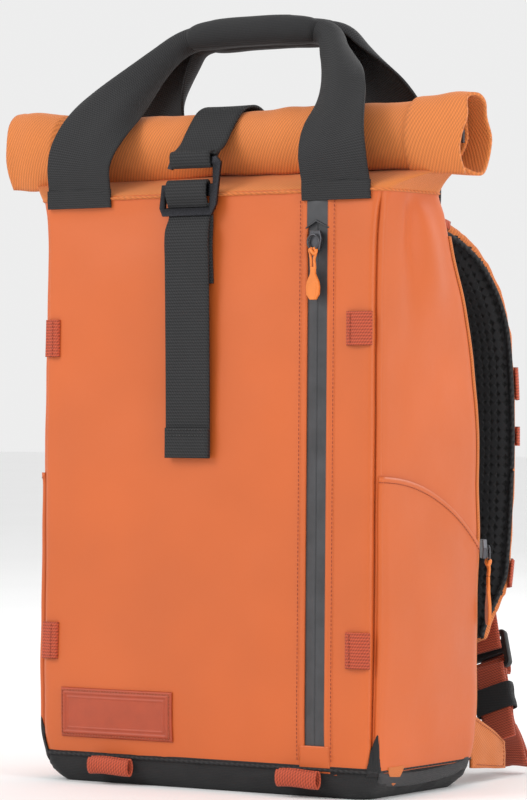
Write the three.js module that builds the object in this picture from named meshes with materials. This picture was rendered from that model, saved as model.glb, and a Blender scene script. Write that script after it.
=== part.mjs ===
// Roll-top backpack, in millimetres. +X is the wearer's right, -Y the front, +Y the straps, +Z up.
// The origin is the centre of the flat underside.
import * as THREE from "three";
import { ParametricGeometry } from "three/addons/geometries/ParametricGeometry.js";
import { mergeVertices } from "three/addons/utils/BufferGeometryUtils.js";

// Body outline at a height: half width, front and back faces, corner radii.
const HALF_WIDTH = [[0, 134], [12, 143], [40, 147], [250, 148], [390, 148], [432, 152]];
const FRONT_Y = [[0, -70], [12, -77], [40, -79.6], [90, -79.2], [250, -77], [350, -75.6], [432, -74.4]];
const BACK_Y = [[0, 58], [12, 66], [40, 69], [250, 69], [290, 67], [330, 60], [385, 36], [432, 14]];
const FRONT_RADIUS = 11;
const BACK_RADIUS = 22;
const ARC_SHARE = 0.12;
const FRONT = 0;
const RIGHT = 1;
const BACK = 2;
const LEFT = 3;

const GAP = 0.3;
const SHELL = 2;
const BASE_TOP = 20;
const SEAM_Z = 430;
const BASE_THICK = 2.5;

// Front zip.
const ZIP_X = 97;
const ZIP_HALF = 10;
const ZIP_BOTTOM = 44;
const ZIP_TOP = 402;
const SLIDER_Z = 396;
const PULL_LENGTH = 46;

// Back compartment zip: the tape rises up both rear corners and arches over at the top.
const ARCH_FOOT = 150;
const ARCH_SPRING = 300;
const ARCH_RISE = 84;
const ARCH_SHARE_OF_TAPE = 0.42;
const ARCH_TAPE_HALF = 7;
const BACK_SLIDER_Z = 173;

// Side pockets, gear loops and patch: [x0, x1, z0, z1] where they lie on the front.
const POCKET_TOP = 228;
const POCKET_FALL = 54;
const LOOP_SPOTS = {
  gear_loop_upper_right: [123, 143.5, 321, 344],
  gear_loop_upper_left: [-143.5, -130, 315, 341],
  gear_loop_lower_right: [124, 143.5, 93, 118],
  gear_loop_lower_left: [-143.5, -129, 91, 117],
};
const BASE_LOOPS = { gear_loop_base_left: [-96, -62], gear_loop_base_right: [70, 102] };
const BASE_LOOP_Y = -84.5;
const BASE_LOOP_Z = 14;
const PATCH = [-125, -25, 34, 70];

// Roll.
const ROLL_Y = -29;
const ROLL_Z = 468;
const ROLL_HALF_DEPTH = 23;
const ROLL_HALF_HEIGHT = 27.5;
const ROLL_HALF_LENGTH = 198;
const ROLL_TURNS = 2.6;
const ROLL_PITCH = 0.24;
const ROLL_CLOTH = 4;
const COLLAR_TOP = 442.5;
const COLLAR_FLAT = 188;

// Closing strap and hook.
const STRAP_X = -10;
const STRAP_HALF = 20;
const WEB = 1.8;
const HOOK_TOP = 458;
const HOOK_BOTTOM = 415;
const HOOK_Y = -79.6;
const HOOK_LEAN = 0.1;
const TAIL_BOTTOM = 239;

// Carry handles.
const HANDLE_X = 113;
const HANDLE_HALF = 28;
const HANDLE_Z = 434;
const GRIP_Z = 553;
const GRIP_R = 13;
const GRIP_HALF = 58;
const FRONT_HANDLE = { away: -1, footY: -76.5, topY: -14.2, lean: 62 };
const BACK_HANDLE = { away: 1, footY: 18.5, topY: 13, lean: -5 };

// Shoulder straps: centre line of the right one.
const STRAP_PATH = [
  [58, 37, 397], [64, 62, 410], [74, 89, 411], [84, 113, 395], [90, 131, 371], [94, 144, 340],
  [95, 150, 300], [95, 152, 250], [95, 149, 200], [96, 142, 160], [98, 131, 128], [101, 117, 100],
];
const PAD_THICK = 8;
const MESH_THICK = 3.6;
const MESH_GAP = 1.8;
const PAD_HALF_TOP = 26;
const PAD_HALF = 35;
const LOCK_POINT = [109, 141, 82];
const WING_POINT = [131, 123, 28];
const WEB_HALF = 12.5;

const COLOURS = {
  tarp: [0xd9632b, 0.5, 0],
  twill: [0xd2702a, 0.85, 0],
  red: [0xb8452a, 0.85, 0],
  black: [0x1b1b1d, 0.85, 0],
  mesh: [0x121214, 0.95, 0],
  zip: [0x3a3a3d, 0.6, 0],
  metal: [0x55565a, 0.4, 1],
  plastic: [0x161617, 0.45, 0],
  hook: [0x1d1d20, 0.45, 0.8],
  rubber: [0xdc7324, 0.55, 0],
  board: [0x2a2a2c, 0.7, 0],
};

const V = (x, y, z) => new THREE.Vector3(x, y, z);
const part = new THREE.Group();

function add(name, geometry, colour) {
  const [color, roughness, metalness] = COLOURS[colour];
  const mesh = new THREE.Mesh(geometry, new THREE.MeshStandardMaterial({ color, roughness, metalness }));
  mesh.name = name;
  part.add(mesh);
}

// Smooth value between hand-set stations.
function profile(stations) {
  const heights = stations.map((s) => s[0]);
  const values = stations.map((s) => s[1]);
  const fit = new THREE.CubicInterpolant(heights, values, 1);
  const first = heights[0];
  const last = heights[heights.length - 1];
  return (z) => fit.evaluate(THREE.MathUtils.clamp(z, first, last))[0];
}

const halfWidth = profile(HALF_WIDTH);
const frontY = profile(FRONT_Y);
const backY = profile(BACK_Y);

function signedVolume(geometry) {
  const p = geometry.getAttribute("position");
  const index = geometry.index.array;
  const a = V();
  const b = V();
  const c = V();
  let six = 0;
  for (let i = 0; i < index.length; i += 3) {
    a.fromBufferAttribute(p, index[i]);
    b.fromBufferAttribute(p, index[i + 1]);
    c.fromBufferAttribute(p, index[i + 2]);
    six += a.dot(b.cross(c));
  }
  return six / 6;
}

function flipped(geometry) {
  const index = geometry.index.array;
  for (let i = 0; i < index.length; i += 3) {
    [index[i + 1], index[i + 2]] = [index[i + 2], index[i + 1]];
  }
  return geometry;
}

// Closed skin over a grid of points, with doubled corners dropped and the faces turned out.
function skin(pointAt, slices, stacks) {
  const place = (u, v, target) => target.copy(pointAt(Math.round(u * slices), Math.round(v * stacks)));
  const raw = new ParametricGeometry(place, slices, stacks);
  raw.deleteAttribute("normal");
  raw.deleteAttribute("uv");
  const merged = mergeVertices(raw, 1e-3);
  const kept = [];
  const index = merged.index.array;
  for (let i = 0; i < index.length; i += 3) {
    const [a, b, c] = [index[i], index[i + 1], index[i + 2]];
    if (a !== b && b !== c && c !== a) kept.push(a, b, c);
  }
  merged.setIndex(kept);
  if (signedVolume(merged) < 0) flipped(merged);
  merged.computeVertexNormals();
  return merged;
}

// Plate between two surfaces over s and t in 0..1, with square rims.
function slab(outer, inner, across, along) {
  const loop = 2 * across + 2;
  const at = (i, j) => {
    const t = THREE.MathUtils.clamp(j - 1, 0, along) / along;
    const k = i % loop;
    const s = (k <= across ? k : loop - 1 - k) / across;
    if (j === 0 || j === along + 2) return outer(s, t).lerp(inner(s, t), 0.5);
    return k <= across ? outer(s, t) : inner(s, t);
  };
  return skin(at, loop, along + 2);
}

// Band closed round w in 0..1, between two surfaces over w and t.
function band(outer, inner, around, along) {
  const loop = 2 * along + 2;
  const at = (i, j) => {
    const w = (j % around) / around;
    const k = i % loop;
    const t = (k <= along ? k : loop - 1 - k) / along;
    return k <= along ? outer(w, t) : inner(w, t);
  };
  return skin(at, loop, around);
}

// Body outline: side 0..3 from corner to corner, s in 0..1, at height z and offset off.
function bodyPoint(side, s, z, off) {
  const a = halfWidth(z);
  const yf = frontY(z);
  const yb = backY(z);
  const corners = [
    [-a, yf, FRONT_RADIUS, 180], [a, yf, FRONT_RADIUS, 270],
    [a, yb, BACK_RADIUS, 0], [-a, yb, BACK_RADIUS, 90],
  ];
  const centreOf = ([x, y, r]) => V(x - Math.sign(x) * r, y + (y === yf ? r : -r), z);
  const from = corners[side];
  const to = corners[(side + 1) % 4];
  const onArc = (corner, degrees) => {
    const angle = THREE.MathUtils.degToRad(degrees);
    const r = corner[2] + off;
    return centreOf(corner).add(V(Math.cos(angle) * r, Math.sin(angle) * r, 0));
  };
  const facing = from[3] + 90;
  if (s < ARC_SHARE) return onArc(from, facing - 45 * (1 - s / ARC_SHARE));
  if (s > 1 - ARC_SHARE) return onArc(to, facing + 45 * (1 - (1 - s) / ARC_SHARE));
  const run = (s - ARC_SHARE) / (1 - 2 * ARC_SHARE);
  return onArc(from, facing).lerp(onArc(to, facing), run);
}

// Outward normal of the body's outline.
function bodyNormal(side, s, z) {
  const step = 0.004;
  const round = bodyPoint(side, s + step, z, 0).sub(bodyPoint(side, s - step, z, 0));
  const rise = bodyPoint(side, s, z + 1, 0).sub(bodyPoint(side, s, z - 1, 0));
  return V().crossVectors(round, rise).normalize();
}

// Outer face of the front at x.
function frontPoint(x, z, off) {
  const a = halfWidth(z);
  const past = Math.abs(x) - (a - FRONT_RADIUS);
  const y = frontY(z);
  if (past <= 0) return V(x, y - off, z);
  const r = FRONT_RADIUS + off;
  return V(x, y + FRONT_RADIUS - Math.sqrt(Math.max(r * r - past * past, 0)), z);
}

// Places a shape by a matrix, with its faces kept out when the matrix mirrors it.
function placed(geometry, matrix) {
  const moved = geometry.clone().applyMatrix4(matrix);
  return matrix.determinant() < 0 ? flipped(moved) : moved;
}

const mirrored = (geometry) => placed(geometry, new THREE.Matrix4().makeScale(-1, 1, 1));

function addPair(name, geometry, colour) {
  add(name + "_right", geometry, colour);
  add(name + "_left", mirrored(geometry), colour);
}

// Panel on one side of the body.
function panel(side, s0, s1, z0, z1, off0, off1, across, along) {
  const at = (off) => (s, t) =>
    bodyPoint(side, THREE.MathUtils.lerp(s0, s1, s), THREE.MathUtils.lerp(z0, z1, t), off);
  return slab(at(off1), at(off0), across, along);
}

// Plate lying on the front between two widths and heights.
function frontPlate(x0, x1, z0, z1, off0, off1, across, along) {
  const at = (off) => (s, t) =>
    frontPoint(THREE.MathUtils.lerp(x0, x1, s), THREE.MathUtils.lerp(z0, z1, t), off);
  return slab(at(off1), at(off0), across, along);
}

const curveOf = (points) => new THREE.CatmullRomCurve3(points.map((p) => V(...p)), false, "centripetal");

// Frame along a curve: wide is kept near the given direction, deep points away from the body.
function frameAt(curve, t, near) {
  const along = curve.getTangent(t);
  const wide = near.clone().addScaledVector(along, -near.dot(along)).normalize();
  const deep = V().crossVectors(along, wide).normalize();
  return { at: curve.getPoint(t), wide, deep };
}

// Strip swept along a curve, from depth d0 to d1, with a half width that may vary.
function strip(curve, halfAt, d0, d1, near, across, along) {
  const at = (depth) => (s, t) => {
    const f = frameAt(curve, t, near);
    return f.at.addScaledVector(f.wide, halfAt(t) * (2 * s - 1)).addScaledVector(f.deep, depth);
  };
  return slab(at(d1), at(d0), across, along);
}

// Frame along a carry handle, whose depth stays near Y.
function handleFrame(curve, t) {
  const along = curve.getTangent(t);
  const deep = V(0, 1, 0).addScaledVector(along, -along.y).normalize();
  return { at: curve.getPoint(t), wide: V().crossVectors(along, deep).normalize(), deep };
}

// Flattened rod along a carry handle's curve, closed at both ends.
function rod(curve, wideAt, deepAt, around, along) {
  const at = (i, j) => {
    const t = THREE.MathUtils.clamp(j - 1, 0, along) / along;
    const f = handleFrame(curve, t);
    if (j === 0 || j === along + 2) return f.at;
    const angle = (2 * Math.PI * (i % around)) / around;
    const flat = (v) => Math.sign(v) * Math.pow(Math.abs(v), 0.7);
    f.at.addScaledVector(f.wide, wideAt(t) * flat(Math.cos(angle)));
    return f.at.addScaledVector(f.deep, deepAt(t) * flat(Math.sin(angle)));
  };
  return skin(at, around, along + 2);
}

// Rounded rectangle shape, with optional rectangular holes [x0, y0, x1, y1].
function plateShape(w, h, r, holes = []) {
  const rounded = (target, x0, y0, x1, y1, c) => {
    target.moveTo(x0 + c, y0).lineTo(x1 - c, y0);
    target.absarc(x1 - c, y0 + c, c, -Math.PI / 2, 0).lineTo(x1, y1 - c);
    target.absarc(x1 - c, y1 - c, c, 0, Math.PI / 2).lineTo(x0 + c, y1);
    target.absarc(x0 + c, y1 - c, c, Math.PI / 2, Math.PI).lineTo(x0, y0 + c);
    target.absarc(x0 + c, y0 + c, c, Math.PI, 1.5 * Math.PI);
    return target;
  };
  const shape = rounded(new THREE.Shape(), -w / 2, -h / 2, w / 2, h / 2, r);
  for (const [x0, y0, x1, y1] of holes) shape.holes.push(rounded(new THREE.Path(), x0, y0, x1, y1, 0.6));
  return shape;
}

function extruded(shape, depth, bevel = 0) {
  const geometry = new THREE.ExtrudeGeometry(shape, {
    depth: depth - 2 * bevel,
    bevelEnabled: bevel > 0,
    bevelThickness: bevel,
    bevelSize: bevel,
    bevelOffset: -bevel,
    bevelSegments: 1,
    curveSegments: 3,
  });
  geometry.deleteAttribute("normal");
  geometry.deleteAttribute("uv");
  const merged = mergeVertices(geometry, 1e-4).translate(0, 0, bevel - depth / 2);
  merged.computeVertexNormals();
  return merged;
}

// Turns a flat shape in XY into an upright one in XZ that faces the front.
const upright = (geometry) => geometry.rotateX(Math.PI / 2);

function basePanel() {
  const rows = [[0, 0], [0.5, 0], [1, 0], [1, 6], [1, 12], [1, BASE_TOP]];
  const point = (w, share, z, off) => {
    const side = Math.floor(w * 4) % 4;
    const p = bodyPoint(side, w * 4 - Math.floor(w * 4), z, off);
    const centre = V(0, (frontY(0) + backY(0)) / 2, p.z);
    return share === 1 ? p : centre.lerp(p, share);
  };
  const along = rows.length - 1;
  const rowAt = (t) => rows[Math.round(t * along)];
  const outer = (w, t) => {
    const [share, z] = rowAt(t);
    return point(w, share, z, 0);
  };
  const inner = (w, t) => {
    const [share, z] = rowAt(t);
    const p = point(w, share, z, -BASE_THICK);
    if (z < BASE_THICK) p.z = BASE_THICK;
    return p;
  };
  return band(outer, inner, 40, along);
}

function collar() {
  const outline = (w, t, off) => {
    const side = Math.floor(w * 4) % 4;
    const low = bodyPoint(side, w * 4 - Math.floor(w * 4), SEAM_Z, off);
    const flatY = THREE.MathUtils.mapLinear(low.y, frontY(SEAM_Z), backY(SEAM_Z), -8, 8);
    const wide = THREE.MathUtils.clamp(low.x / halfWidth(SEAM_Z), -1, 1) * (COLLAR_FLAT + off);
    const high = V(wide, ROLL_Y + flatY, COLLAR_TOP);
    const bulge = Math.sin(Math.PI * t) * 2;
    const p = low.clone().lerp(high, t);
    p.z = THREE.MathUtils.lerp(SEAM_Z + GAP, COLLAR_TOP, t) + bulge * 0.3;
    return p;
  };
  return band((w, t) => outline(w, t, 0), (w, t) => outline(w, t, -SHELL), 48, 2);
}

// Cloth wound up from its free edge inside to the outer turn.
function rollTop() {
  const at = (cut) => (s, t) => {
    const turn = s * ROLL_TURNS;
    const angle = -Math.PI / 2 + 0.6 + 2 * Math.PI * turn;
    const scale = 1 - ROLL_PITCH * turn;
    const x = THREE.MathUtils.lerp(-ROLL_HALF_LENGTH, ROLL_HALF_LENGTH, t);
    const flare = 1 + 0.1 * Math.pow(Math.abs(x) / ROLL_HALF_LENGTH, 4);
    const ry = (ROLL_HALF_DEPTH * scale - cut) * flare;
    const rz = ROLL_HALF_HEIGHT * scale - cut;
    return V(x, ROLL_Y - ry * Math.cos(angle), ROLL_Z + rz * Math.sin(angle));
  };
  return slab(at(0), at(ROLL_CLOTH), 36, 4);
}

function stripX(points, half, d0, d1, along, x = STRAP_X) {
  const curve = curveOf(points.map(([y, z]) => [x, y, z]));
  return strip(curve, () => half, d0, d1, V(1, 0, 0), 1, along);
}

function closingStrap() {
  const points = [
    [21, 433], [14, 450], [-1, 474], [-12, 491], [-29, 497.5],
    [-46, 490], [-58, 474], [-70, 463], [-77, 459.8],
  ];
  return stripX(points, STRAP_HALF, -WEB / 2, WEB / 2, 18);
}

// Flat hook: a plate with a webbing slot below, a throat open to one side above it.
function hookPlate() {
  const height = HOOK_TOP - HOOK_BOTTOM;
  const w = 52;
  const s = new THREE.Shape();
  s.moveTo(-w / 2 + 3, -height / 2).lineTo(w / 2 - 6, -height / 2).lineTo(w / 2 - 2, -height / 2 + 8);
  s.lineTo(w / 2, height / 2 - 4).lineTo(w / 2 - 4, height / 2).lineTo(-w / 2 + 8, height / 2);
  s.lineTo(-w / 2 + 5, height / 2 - 8).lineTo(-w / 2 + 9, height / 2 - 9).lineTo(-w / 2 + 11, height / 2 - 6);
  s.lineTo(w / 2 - 7, height / 2 - 6).lineTo(w / 2 - 6, height / 2 - 20).lineTo(-w / 2 + 1, height / 2 - 20);
  s.lineTo(-w / 2, -height / 2 + 6).closePath();
  const slot = new THREE.Path();
  const left = -w / 2 + 5;
  const right = w / 2 - 8;
  slot.moveTo(left, -height / 2 + 6).lineTo(left, -height / 2 + 14).lineTo(right, -height / 2 + 14);
  slot.lineTo(right, -height / 2 + 6).closePath();
  s.holes.push(slot);
  const plate = upright(extruded(s, 3, 0.5));
  plate.rotateX(-HOOK_LEAN);
  return plate.translate(STRAP_X, HOOK_Y, (HOOK_TOP + HOOK_BOTTOM) / 2);
}

function handlePath({ away, footY, topY, lean }) {
  const half = [
    [HANDLE_X, footY, HANDLE_Z], [HANDLE_X - 1, footY + away, 466],
    [HANDLE_X - 12, footY + lean * 0.3, 505], [HANDLE_X - 34, footY + lean * 0.75, 535],
    [GRIP_HALF + 2, topY, 550], [GRIP_HALF * 0.5, topY, GRIP_Z],
  ];
  const other = half.map(([x, y, z]) => [-x, y, z]);
  return curveOf([...other, [0, topY, GRIP_Z + 0.5], ...half.reverse()]);
}

const gripStart = (curve) => {
  let t = 0;
  while (curve.getPoint(t).x < -GRIP_HALF) t += 0.005;
  return t;
};

function handleStrap(curve) {
  const edge = gripStart(curve);
  const ease = (t) => THREE.MathUtils.smoothstep(Math.min(t, 1 - t), edge * 0.3, edge);
  const wideAt = (t) => THREE.MathUtils.lerp(HANDLE_HALF, 7.5, ease(t));
  const deepAt = (t) => THREE.MathUtils.lerp(1.4, 2.2, ease(t));
  return rod(curve, wideAt, deepAt, 8, 36);
}

function handleGrip(curve) {
  const edge = gripStart(curve) + 0.004;
  const at = (wide, deep) => (w, t) => {
    const along = THREE.MathUtils.lerp(edge, 1 - edge, t);
    const f = handleFrame(curve, along);
    const angle = 2 * Math.PI * w;
    const swell = 1 - 0.12 * Math.pow(2 * t - 1, 4);
    f.at.addScaledVector(f.wide, wide * (wide > 10 ? swell : 1) * Math.cos(angle));
    return f.at.addScaledVector(f.deep, deep * (deep > 10 ? swell : 1) * Math.sin(angle));
  };
  return band(at(GRIP_R, GRIP_R), at(9.2, 3.2), 14, 8);
}

// Zip slider with its bail, standing on the tape and facing the front.
function sliderShape() {
  const s = new THREE.Shape();
  s.moveTo(-4, 7).lineTo(-5.5, 1).lineTo(-3.6, -7).lineTo(3.6, -7).lineTo(5.5, 1).lineTo(4, 7).closePath();
  return extruded(s, 3.4, 0.5);
}

function pullShape(length) {
  const s = new THREE.Shape();
  s.moveTo(-2, 0).lineTo(2, 0).lineTo(2, -length * 0.45).lineTo(5.6, -length * 0.55);
  s.lineTo(6.4, -length + 8).lineTo(2.5, -length).lineTo(-2.5, -length).lineTo(-6.4, -length + 8);
  s.lineTo(-5.6, -length * 0.55).lineTo(-2, -length * 0.45).closePath();
  return extruded(s, 2.6, 0.4);
}

function addFront() {
  const zipLeft = ZIP_X - ZIP_HALF;
  const zipRight = ZIP_X + ZIP_HALF;
  const seamX = (z) => bodyPoint(FRONT, 1, z, 0).x;
  const heightAt = (t) => THREE.MathUtils.lerp(BASE_TOP + GAP, SEAM_Z, t);
  const wideAt = (off) => (s, t) => {
    const z = heightAt(t);
    if (s === 0) return bodyPoint(FRONT, 0, z, off);
    return frontPoint(THREE.MathUtils.lerp(-seamX(z), zipLeft - GAP, s), z, off);
  };
  const narrowAt = (off) => (s, t) => {
    const z = heightAt(t);
    if (s === 1) return bodyPoint(FRONT, 1, z, off);
    return frontPoint(THREE.MathUtils.lerp(zipRight + GAP, seamX(z), s), z, off);
  };
  add("front_panel", slab(wideAt(0), wideAt(-SHELL), 8, 8), "tarp");
  add("front_panel_edge", slab(narrowAt(0), narrowAt(-SHELL), 4, 8), "tarp");
  const low = ZIP_BOTTOM - GAP;
  add("front_zip_end_patch", frontPlate(zipLeft, zipRight, BASE_TOP + GAP, low, -SHELL, 0, 1, 2), "tarp");
  add("front_zip_tape", frontPlate(zipLeft, zipRight, ZIP_BOTTOM, ZIP_TOP, -1.8, -0.2, 2, 10), "zip");
  const garageZ = ZIP_TOP + GAP;
  add("front_zip_garage", frontPlate(zipLeft, zipRight, garageZ, SEAM_Z, -1.8, 1.4, 2, 2), "zip");
}

function addZipPulls() {
  const face = frontPoint(ZIP_X, SLIDER_Z, 0).y;
  const slider = upright(sliderShape()).translate(ZIP_X, face - 2.6, SLIDER_Z - 1);
  add("front_zip_slider", slider, "metal");
  const pull = upright(pullShape(PULL_LENGTH)).translate(ZIP_X, face - 6.2, SLIDER_Z + 3);
  add("front_zip_pull", pull, "rubber");
}

function addSides() {
  const sidePanel = panel(RIGHT, 0.02, 0.98, BASE_TOP + GAP, SEAM_Z, -SHELL, 0, 8, 10);
  addPair("side_panel", sidePanel, "tarp");
  // The pocket's upper edge falls in a curve from the front seam to the back.
  const topAt = (s) => POCKET_TOP - POCKET_FALL * Math.pow(s, 2.2);
  const bulge = (s, t) => 4 * Math.sin(Math.PI * s) * Math.sin(Math.PI * Math.min(t * 1.1, 1));
  const at = (base) => (s, t) => {
    const z = THREE.MathUtils.lerp(BASE_TOP + GAP, topAt(s), t);
    return bodyPoint(RIGHT, THREE.MathUtils.lerp(0.03, 0.93, s), z, base + bulge(s, t));
  };
  addPair("side_pocket", slab(at(2.4), at(0.8), 8, 6), "tarp");
  const coil = panel(RIGHT, 0.14, 0.8, 9, BASE_TOP - 1, 1.2, 2.6, 6, 1);
  addPair("corner_zip", coil, "black");
}

function addBack() {
  add("back_panel", panel(BACK, 0.02, 0.98, BASE_TOP + GAP, SEAM_Z, -3, 0, 8, 10), "black");
  const padRound = (s0, s1, z0, z1, name) => {
    const at = (depth) => (s, t) => {
      const edge = Math.pow(Math.sin(Math.PI * THREE.MathUtils.clamp(s, 0.05, 0.95)), 0.25);
      const rise = Math.pow(Math.sin(Math.PI * THREE.MathUtils.clamp(t, 0.05, 0.95)), 0.25);
      const off = depth === 0 ? GAP : GAP + 2 + 7 * edge * rise;
      return bodyPoint(BACK, THREE.MathUtils.lerp(s0, s1, s), THREE.MathUtils.lerp(z0, z1, t), off);
    };
    add(name, slab(at(1), at(0), 6, 6), "mesh");
  };
  padRound(0.16, 0.84, 222, 340, "back_pad_upper");
  padRound(0.16, 0.84, 46, 204, "back_pad_lower");
  const sheetAt = (top) => (depth) => (s, t) => {
    const z = THREE.MathUtils.lerp(BASE_TOP + GAP, top, t);
    return V(THREE.MathUtils.lerp(-122, 122, s), backY(z) - depth, z);
  };
  add("laptop_divider", slab(sheetAt(372)(20), sheetAt(372)(23), 2, 8), "board");
  add("back_frame_sheet", slab(sheetAt(300)(4.2), sheetAt(300)(5.4), 2, 6), "board");
}

// Grey tape round the top of the back compartment, from low on one side to low on the other.
function laptopZip() {
  const path = (t) => {
    const u = 2 * t - 1;
    const reach = Math.abs(u);
    const turn = Math.min(reach / ARCH_SHARE_OF_TAPE, 1) * (Math.PI / 2);
    const w = 2.5 - Math.sign(u) * 0.5 * Math.sin(turn);
    const z = reach < ARCH_SHARE_OF_TAPE
      ? ARCH_SPRING + ARCH_RISE * Math.cos(turn)
      : THREE.MathUtils.mapLinear(reach, ARCH_SHARE_OF_TAPE, 1, ARCH_SPRING, ARCH_FOOT);
    const side = Math.min(Math.floor(w), LEFT);
    return { side, s: w - side, z };
  };
  const pointAt = (t) => {
    const p = path(t);
    return bodyPoint(p.side, p.s, p.z, 0);
  };
  const at = (edge, depth) => (s, t) => {
    const p = path(t);
    const ahead = pointAt(Math.min(t + 0.01, 1)).sub(pointAt(Math.max(t - 0.01, 0))).normalize();
    const lift = bodyNormal(p.side, p.s, p.z);
    const wide = V().crossVectors(ahead, lift).normalize();
    return pointAt(t).addScaledVector(wide, edge * (2 * s - 1)).addScaledVector(lift, depth);
  };
  return slab(at(ARCH_TAPE_HALF, 3.4), at(ARCH_TAPE_HALF, 1.8), 1, 30);
}

function addGearLoops() {
  for (const [name, spot] of Object.entries(LOOP_SPOTS)) {
    add(name, frontPlate(...spot, 0.6, 3.4, 4, 1), "red");
  }
  const tube = ([x0, x1]) => {
    const curve = new THREE.LineCurve3(V(x0, BASE_LOOP_Y, BASE_LOOP_Z), V(x1, BASE_LOOP_Y, BASE_LOOP_Z));
    const ringAt = (cut) => (w, t) => {
      const p = curve.getPoint(t);
      const angle = 2 * Math.PI * w;
      return V(p.x, p.y + (3.6 - cut) * Math.cos(angle), p.z + (6 - cut) * Math.sin(angle));
    };
    return band(ringAt(0), ringAt(1.7), 12, 1);
  };
  for (const [name, spot] of Object.entries(BASE_LOOPS)) add(name, tube(spot), "red");
  add("label_patch", frontPlate(...PATCH, GAP, 2.6, 6, 2), "red");
}

function addClosure() {
  add("closing_strap", closingStrap(), "black");
  const anchor = [[-77, 372], [-76.7, 400], [-76.9, 412], [-77.2, 420]];
  add("closing_strap_anchor", stripX(anchor, STRAP_HALF - 1, -WEB / 2, WEB / 2, 6), "black");
  const tail = [[-84.6, 424], [-84.8, 412], [-84, 380], [-83.2, 330], [-82.6, 280], [-82.4, TAIL_BOTTOM]];
  add("closing_strap_tail", stripX(tail, STRAP_HALF - 1, -WEB / 2, WEB / 2, 10), "black");
  add("closing_hook", hookPlate(), "hook");
}

function addHandles() {
  const front = handlePath(FRONT_HANDLE);
  add("front_handle_strap", handleStrap(front), "black");
  add("front_handle_grip", handleGrip(front), "black");
  const back = handlePath(BACK_HANDLE);
  add("back_handle_strap", handleStrap(back), "black");
  add("back_handle_grip", handleGrip(back), "black");
}

function addShoulderStraps() {
  const curve = curveOf(STRAP_PATH);
  const near = V(1, 0, 0);
  const halfAt = (t) => {
    const grown = THREE.MathUtils.smoothstep(t, 0.05, 0.4);
    const end = THREE.MathUtils.smoothstep(t, 0.86, 1);
    return THREE.MathUtils.lerp(PAD_HALF_TOP, PAD_HALF, grown) - 13 * end;
  };
  const padIn = -PAD_THICK / 2;
  const padOut = PAD_THICK / 2;
  addPair("shoulder_strap", strip(curve, halfAt, padIn, padOut, near, 2, 26), "twill");
  const meshIn = padOut + MESH_GAP;
  const lining = strip(curve, (t) => halfAt(t) - 3, meshIn, meshIn + MESH_THICK, near, 2, 26);
  addPair("shoulder_mesh", lining, "mesh");
  const tabCurve = (t0, t1) => curveOf([0, 0.33, 0.66, 1].map((k) => {
    const f = frameAt(curve, THREE.MathUtils.lerp(t0, t1, k), near);
    return f.at.addScaledVector(f.deep, padIn - GAP - 1).toArray();
  }));
  addPair("strap_loop", strip(tabCurve(0.5, 0.56), () => PAD_HALF + 1, -0.8, 0.8, near, 1, 2), "red");
  const endCurve = curveOf([[98, 146, 138], [100, 146.5, 120], [104, 145, 102], [106, 143.6, 94]]);
  addPair("strap_end", strip(endCurve, () => WEB_HALF, -WEB / 2, WEB / 2, near, 1, 5), "red");
}

function addStrapEnds() {
  const near = V(1, 0, 0);
  const lock = V(...LOCK_POINT);
  const wing = V(...WING_POINT);
  const down = wing.clone().sub(lock).normalize();
  const wide = near.clone().addScaledVector(down, -near.dot(down)).normalize();
  const back = V().crossVectors(wide, down).normalize();
  if (back.y < 0) back.negate();
  const onLine = (t, depth) => lock.clone().lerp(wing, t).addScaledVector(back, depth).toArray();
  const line = curveOf([onLine(0.08, 0), onLine(0.5, 0), onLine(0.93, 0)]);
  addPair("lower_webbing", strip(line, () => WEB_HALF, -WEB / 2, WEB / 2, near, 1, 4), "red");
  const tail = curveOf([
    onLine(0.08, 3.8), onLine(0.45, 3.8), onLine(0.7, 3.9), [121, 149, 25], [121, 155, 10],
    [120, 163, 7], [117, 162, 22], [115, 154, 33],
  ]);
  addPair("webbing_tail", strip(tail, () => WEB_HALF, -WEB / 2, WEB / 2, near, 1, 20), "red");
  const basis = new THREE.Matrix4().makeBasis(wide, down.clone().negate(), back.clone());
  const lockPlate = extruded(plateShape(36, 30, 4, [[-13.5, 7, 13.5, 11], [-13.5, -11, 13.5, -4]]), 5, 0.8);
  basis.setPosition(V(...onLine(-0.17, 4)));
  addPair("ladder_lock", placed(lockPlate, basis), "plastic");
  const keeper = extruded(plateShape(32, 12, 3, [[-13.4, -3.6, 13.4, 3.6]]), 20);
  const along = new THREE.Matrix4().makeBasis(wide, back.clone(), down.clone());
  along.setPosition(V(...onLine(0.46, 2.1)));
  addPair("keeper", placed(keeper, along), "black");
  const wingAt = (off) => (s, t) => {
    const a = V(139 + off, 69, THREE.MathUtils.lerp(12, 50, t));
    const b = V(WING_POINT[0] - 1 + off, WING_POINT[1] + 1, THREE.MathUtils.lerp(8, 26, t));
    return a.lerp(b, s);
  };
  addPair("anchor_wing", slab(wingAt(2.4), wingAt(0), 4, 2), "twill");
}

function addLaptopPull() {
  const z = BACK_SLIDER_Z;
  const p = bodyPoint(RIGHT, 0.99, z, 0);
  const turn = (geometry, depth, height) =>
    upright(geometry).rotateZ(Math.PI * 0.75).translate(p.x + depth * 0.7, p.y + depth * 0.7, height);
  add("laptop_zip_slider", turn(sliderShape(), 7, z), "metal");
  add("laptop_zip_pull", turn(pullShape(PULL_LENGTH + 12), 10.6, z + 2), "rubber");
}

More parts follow.
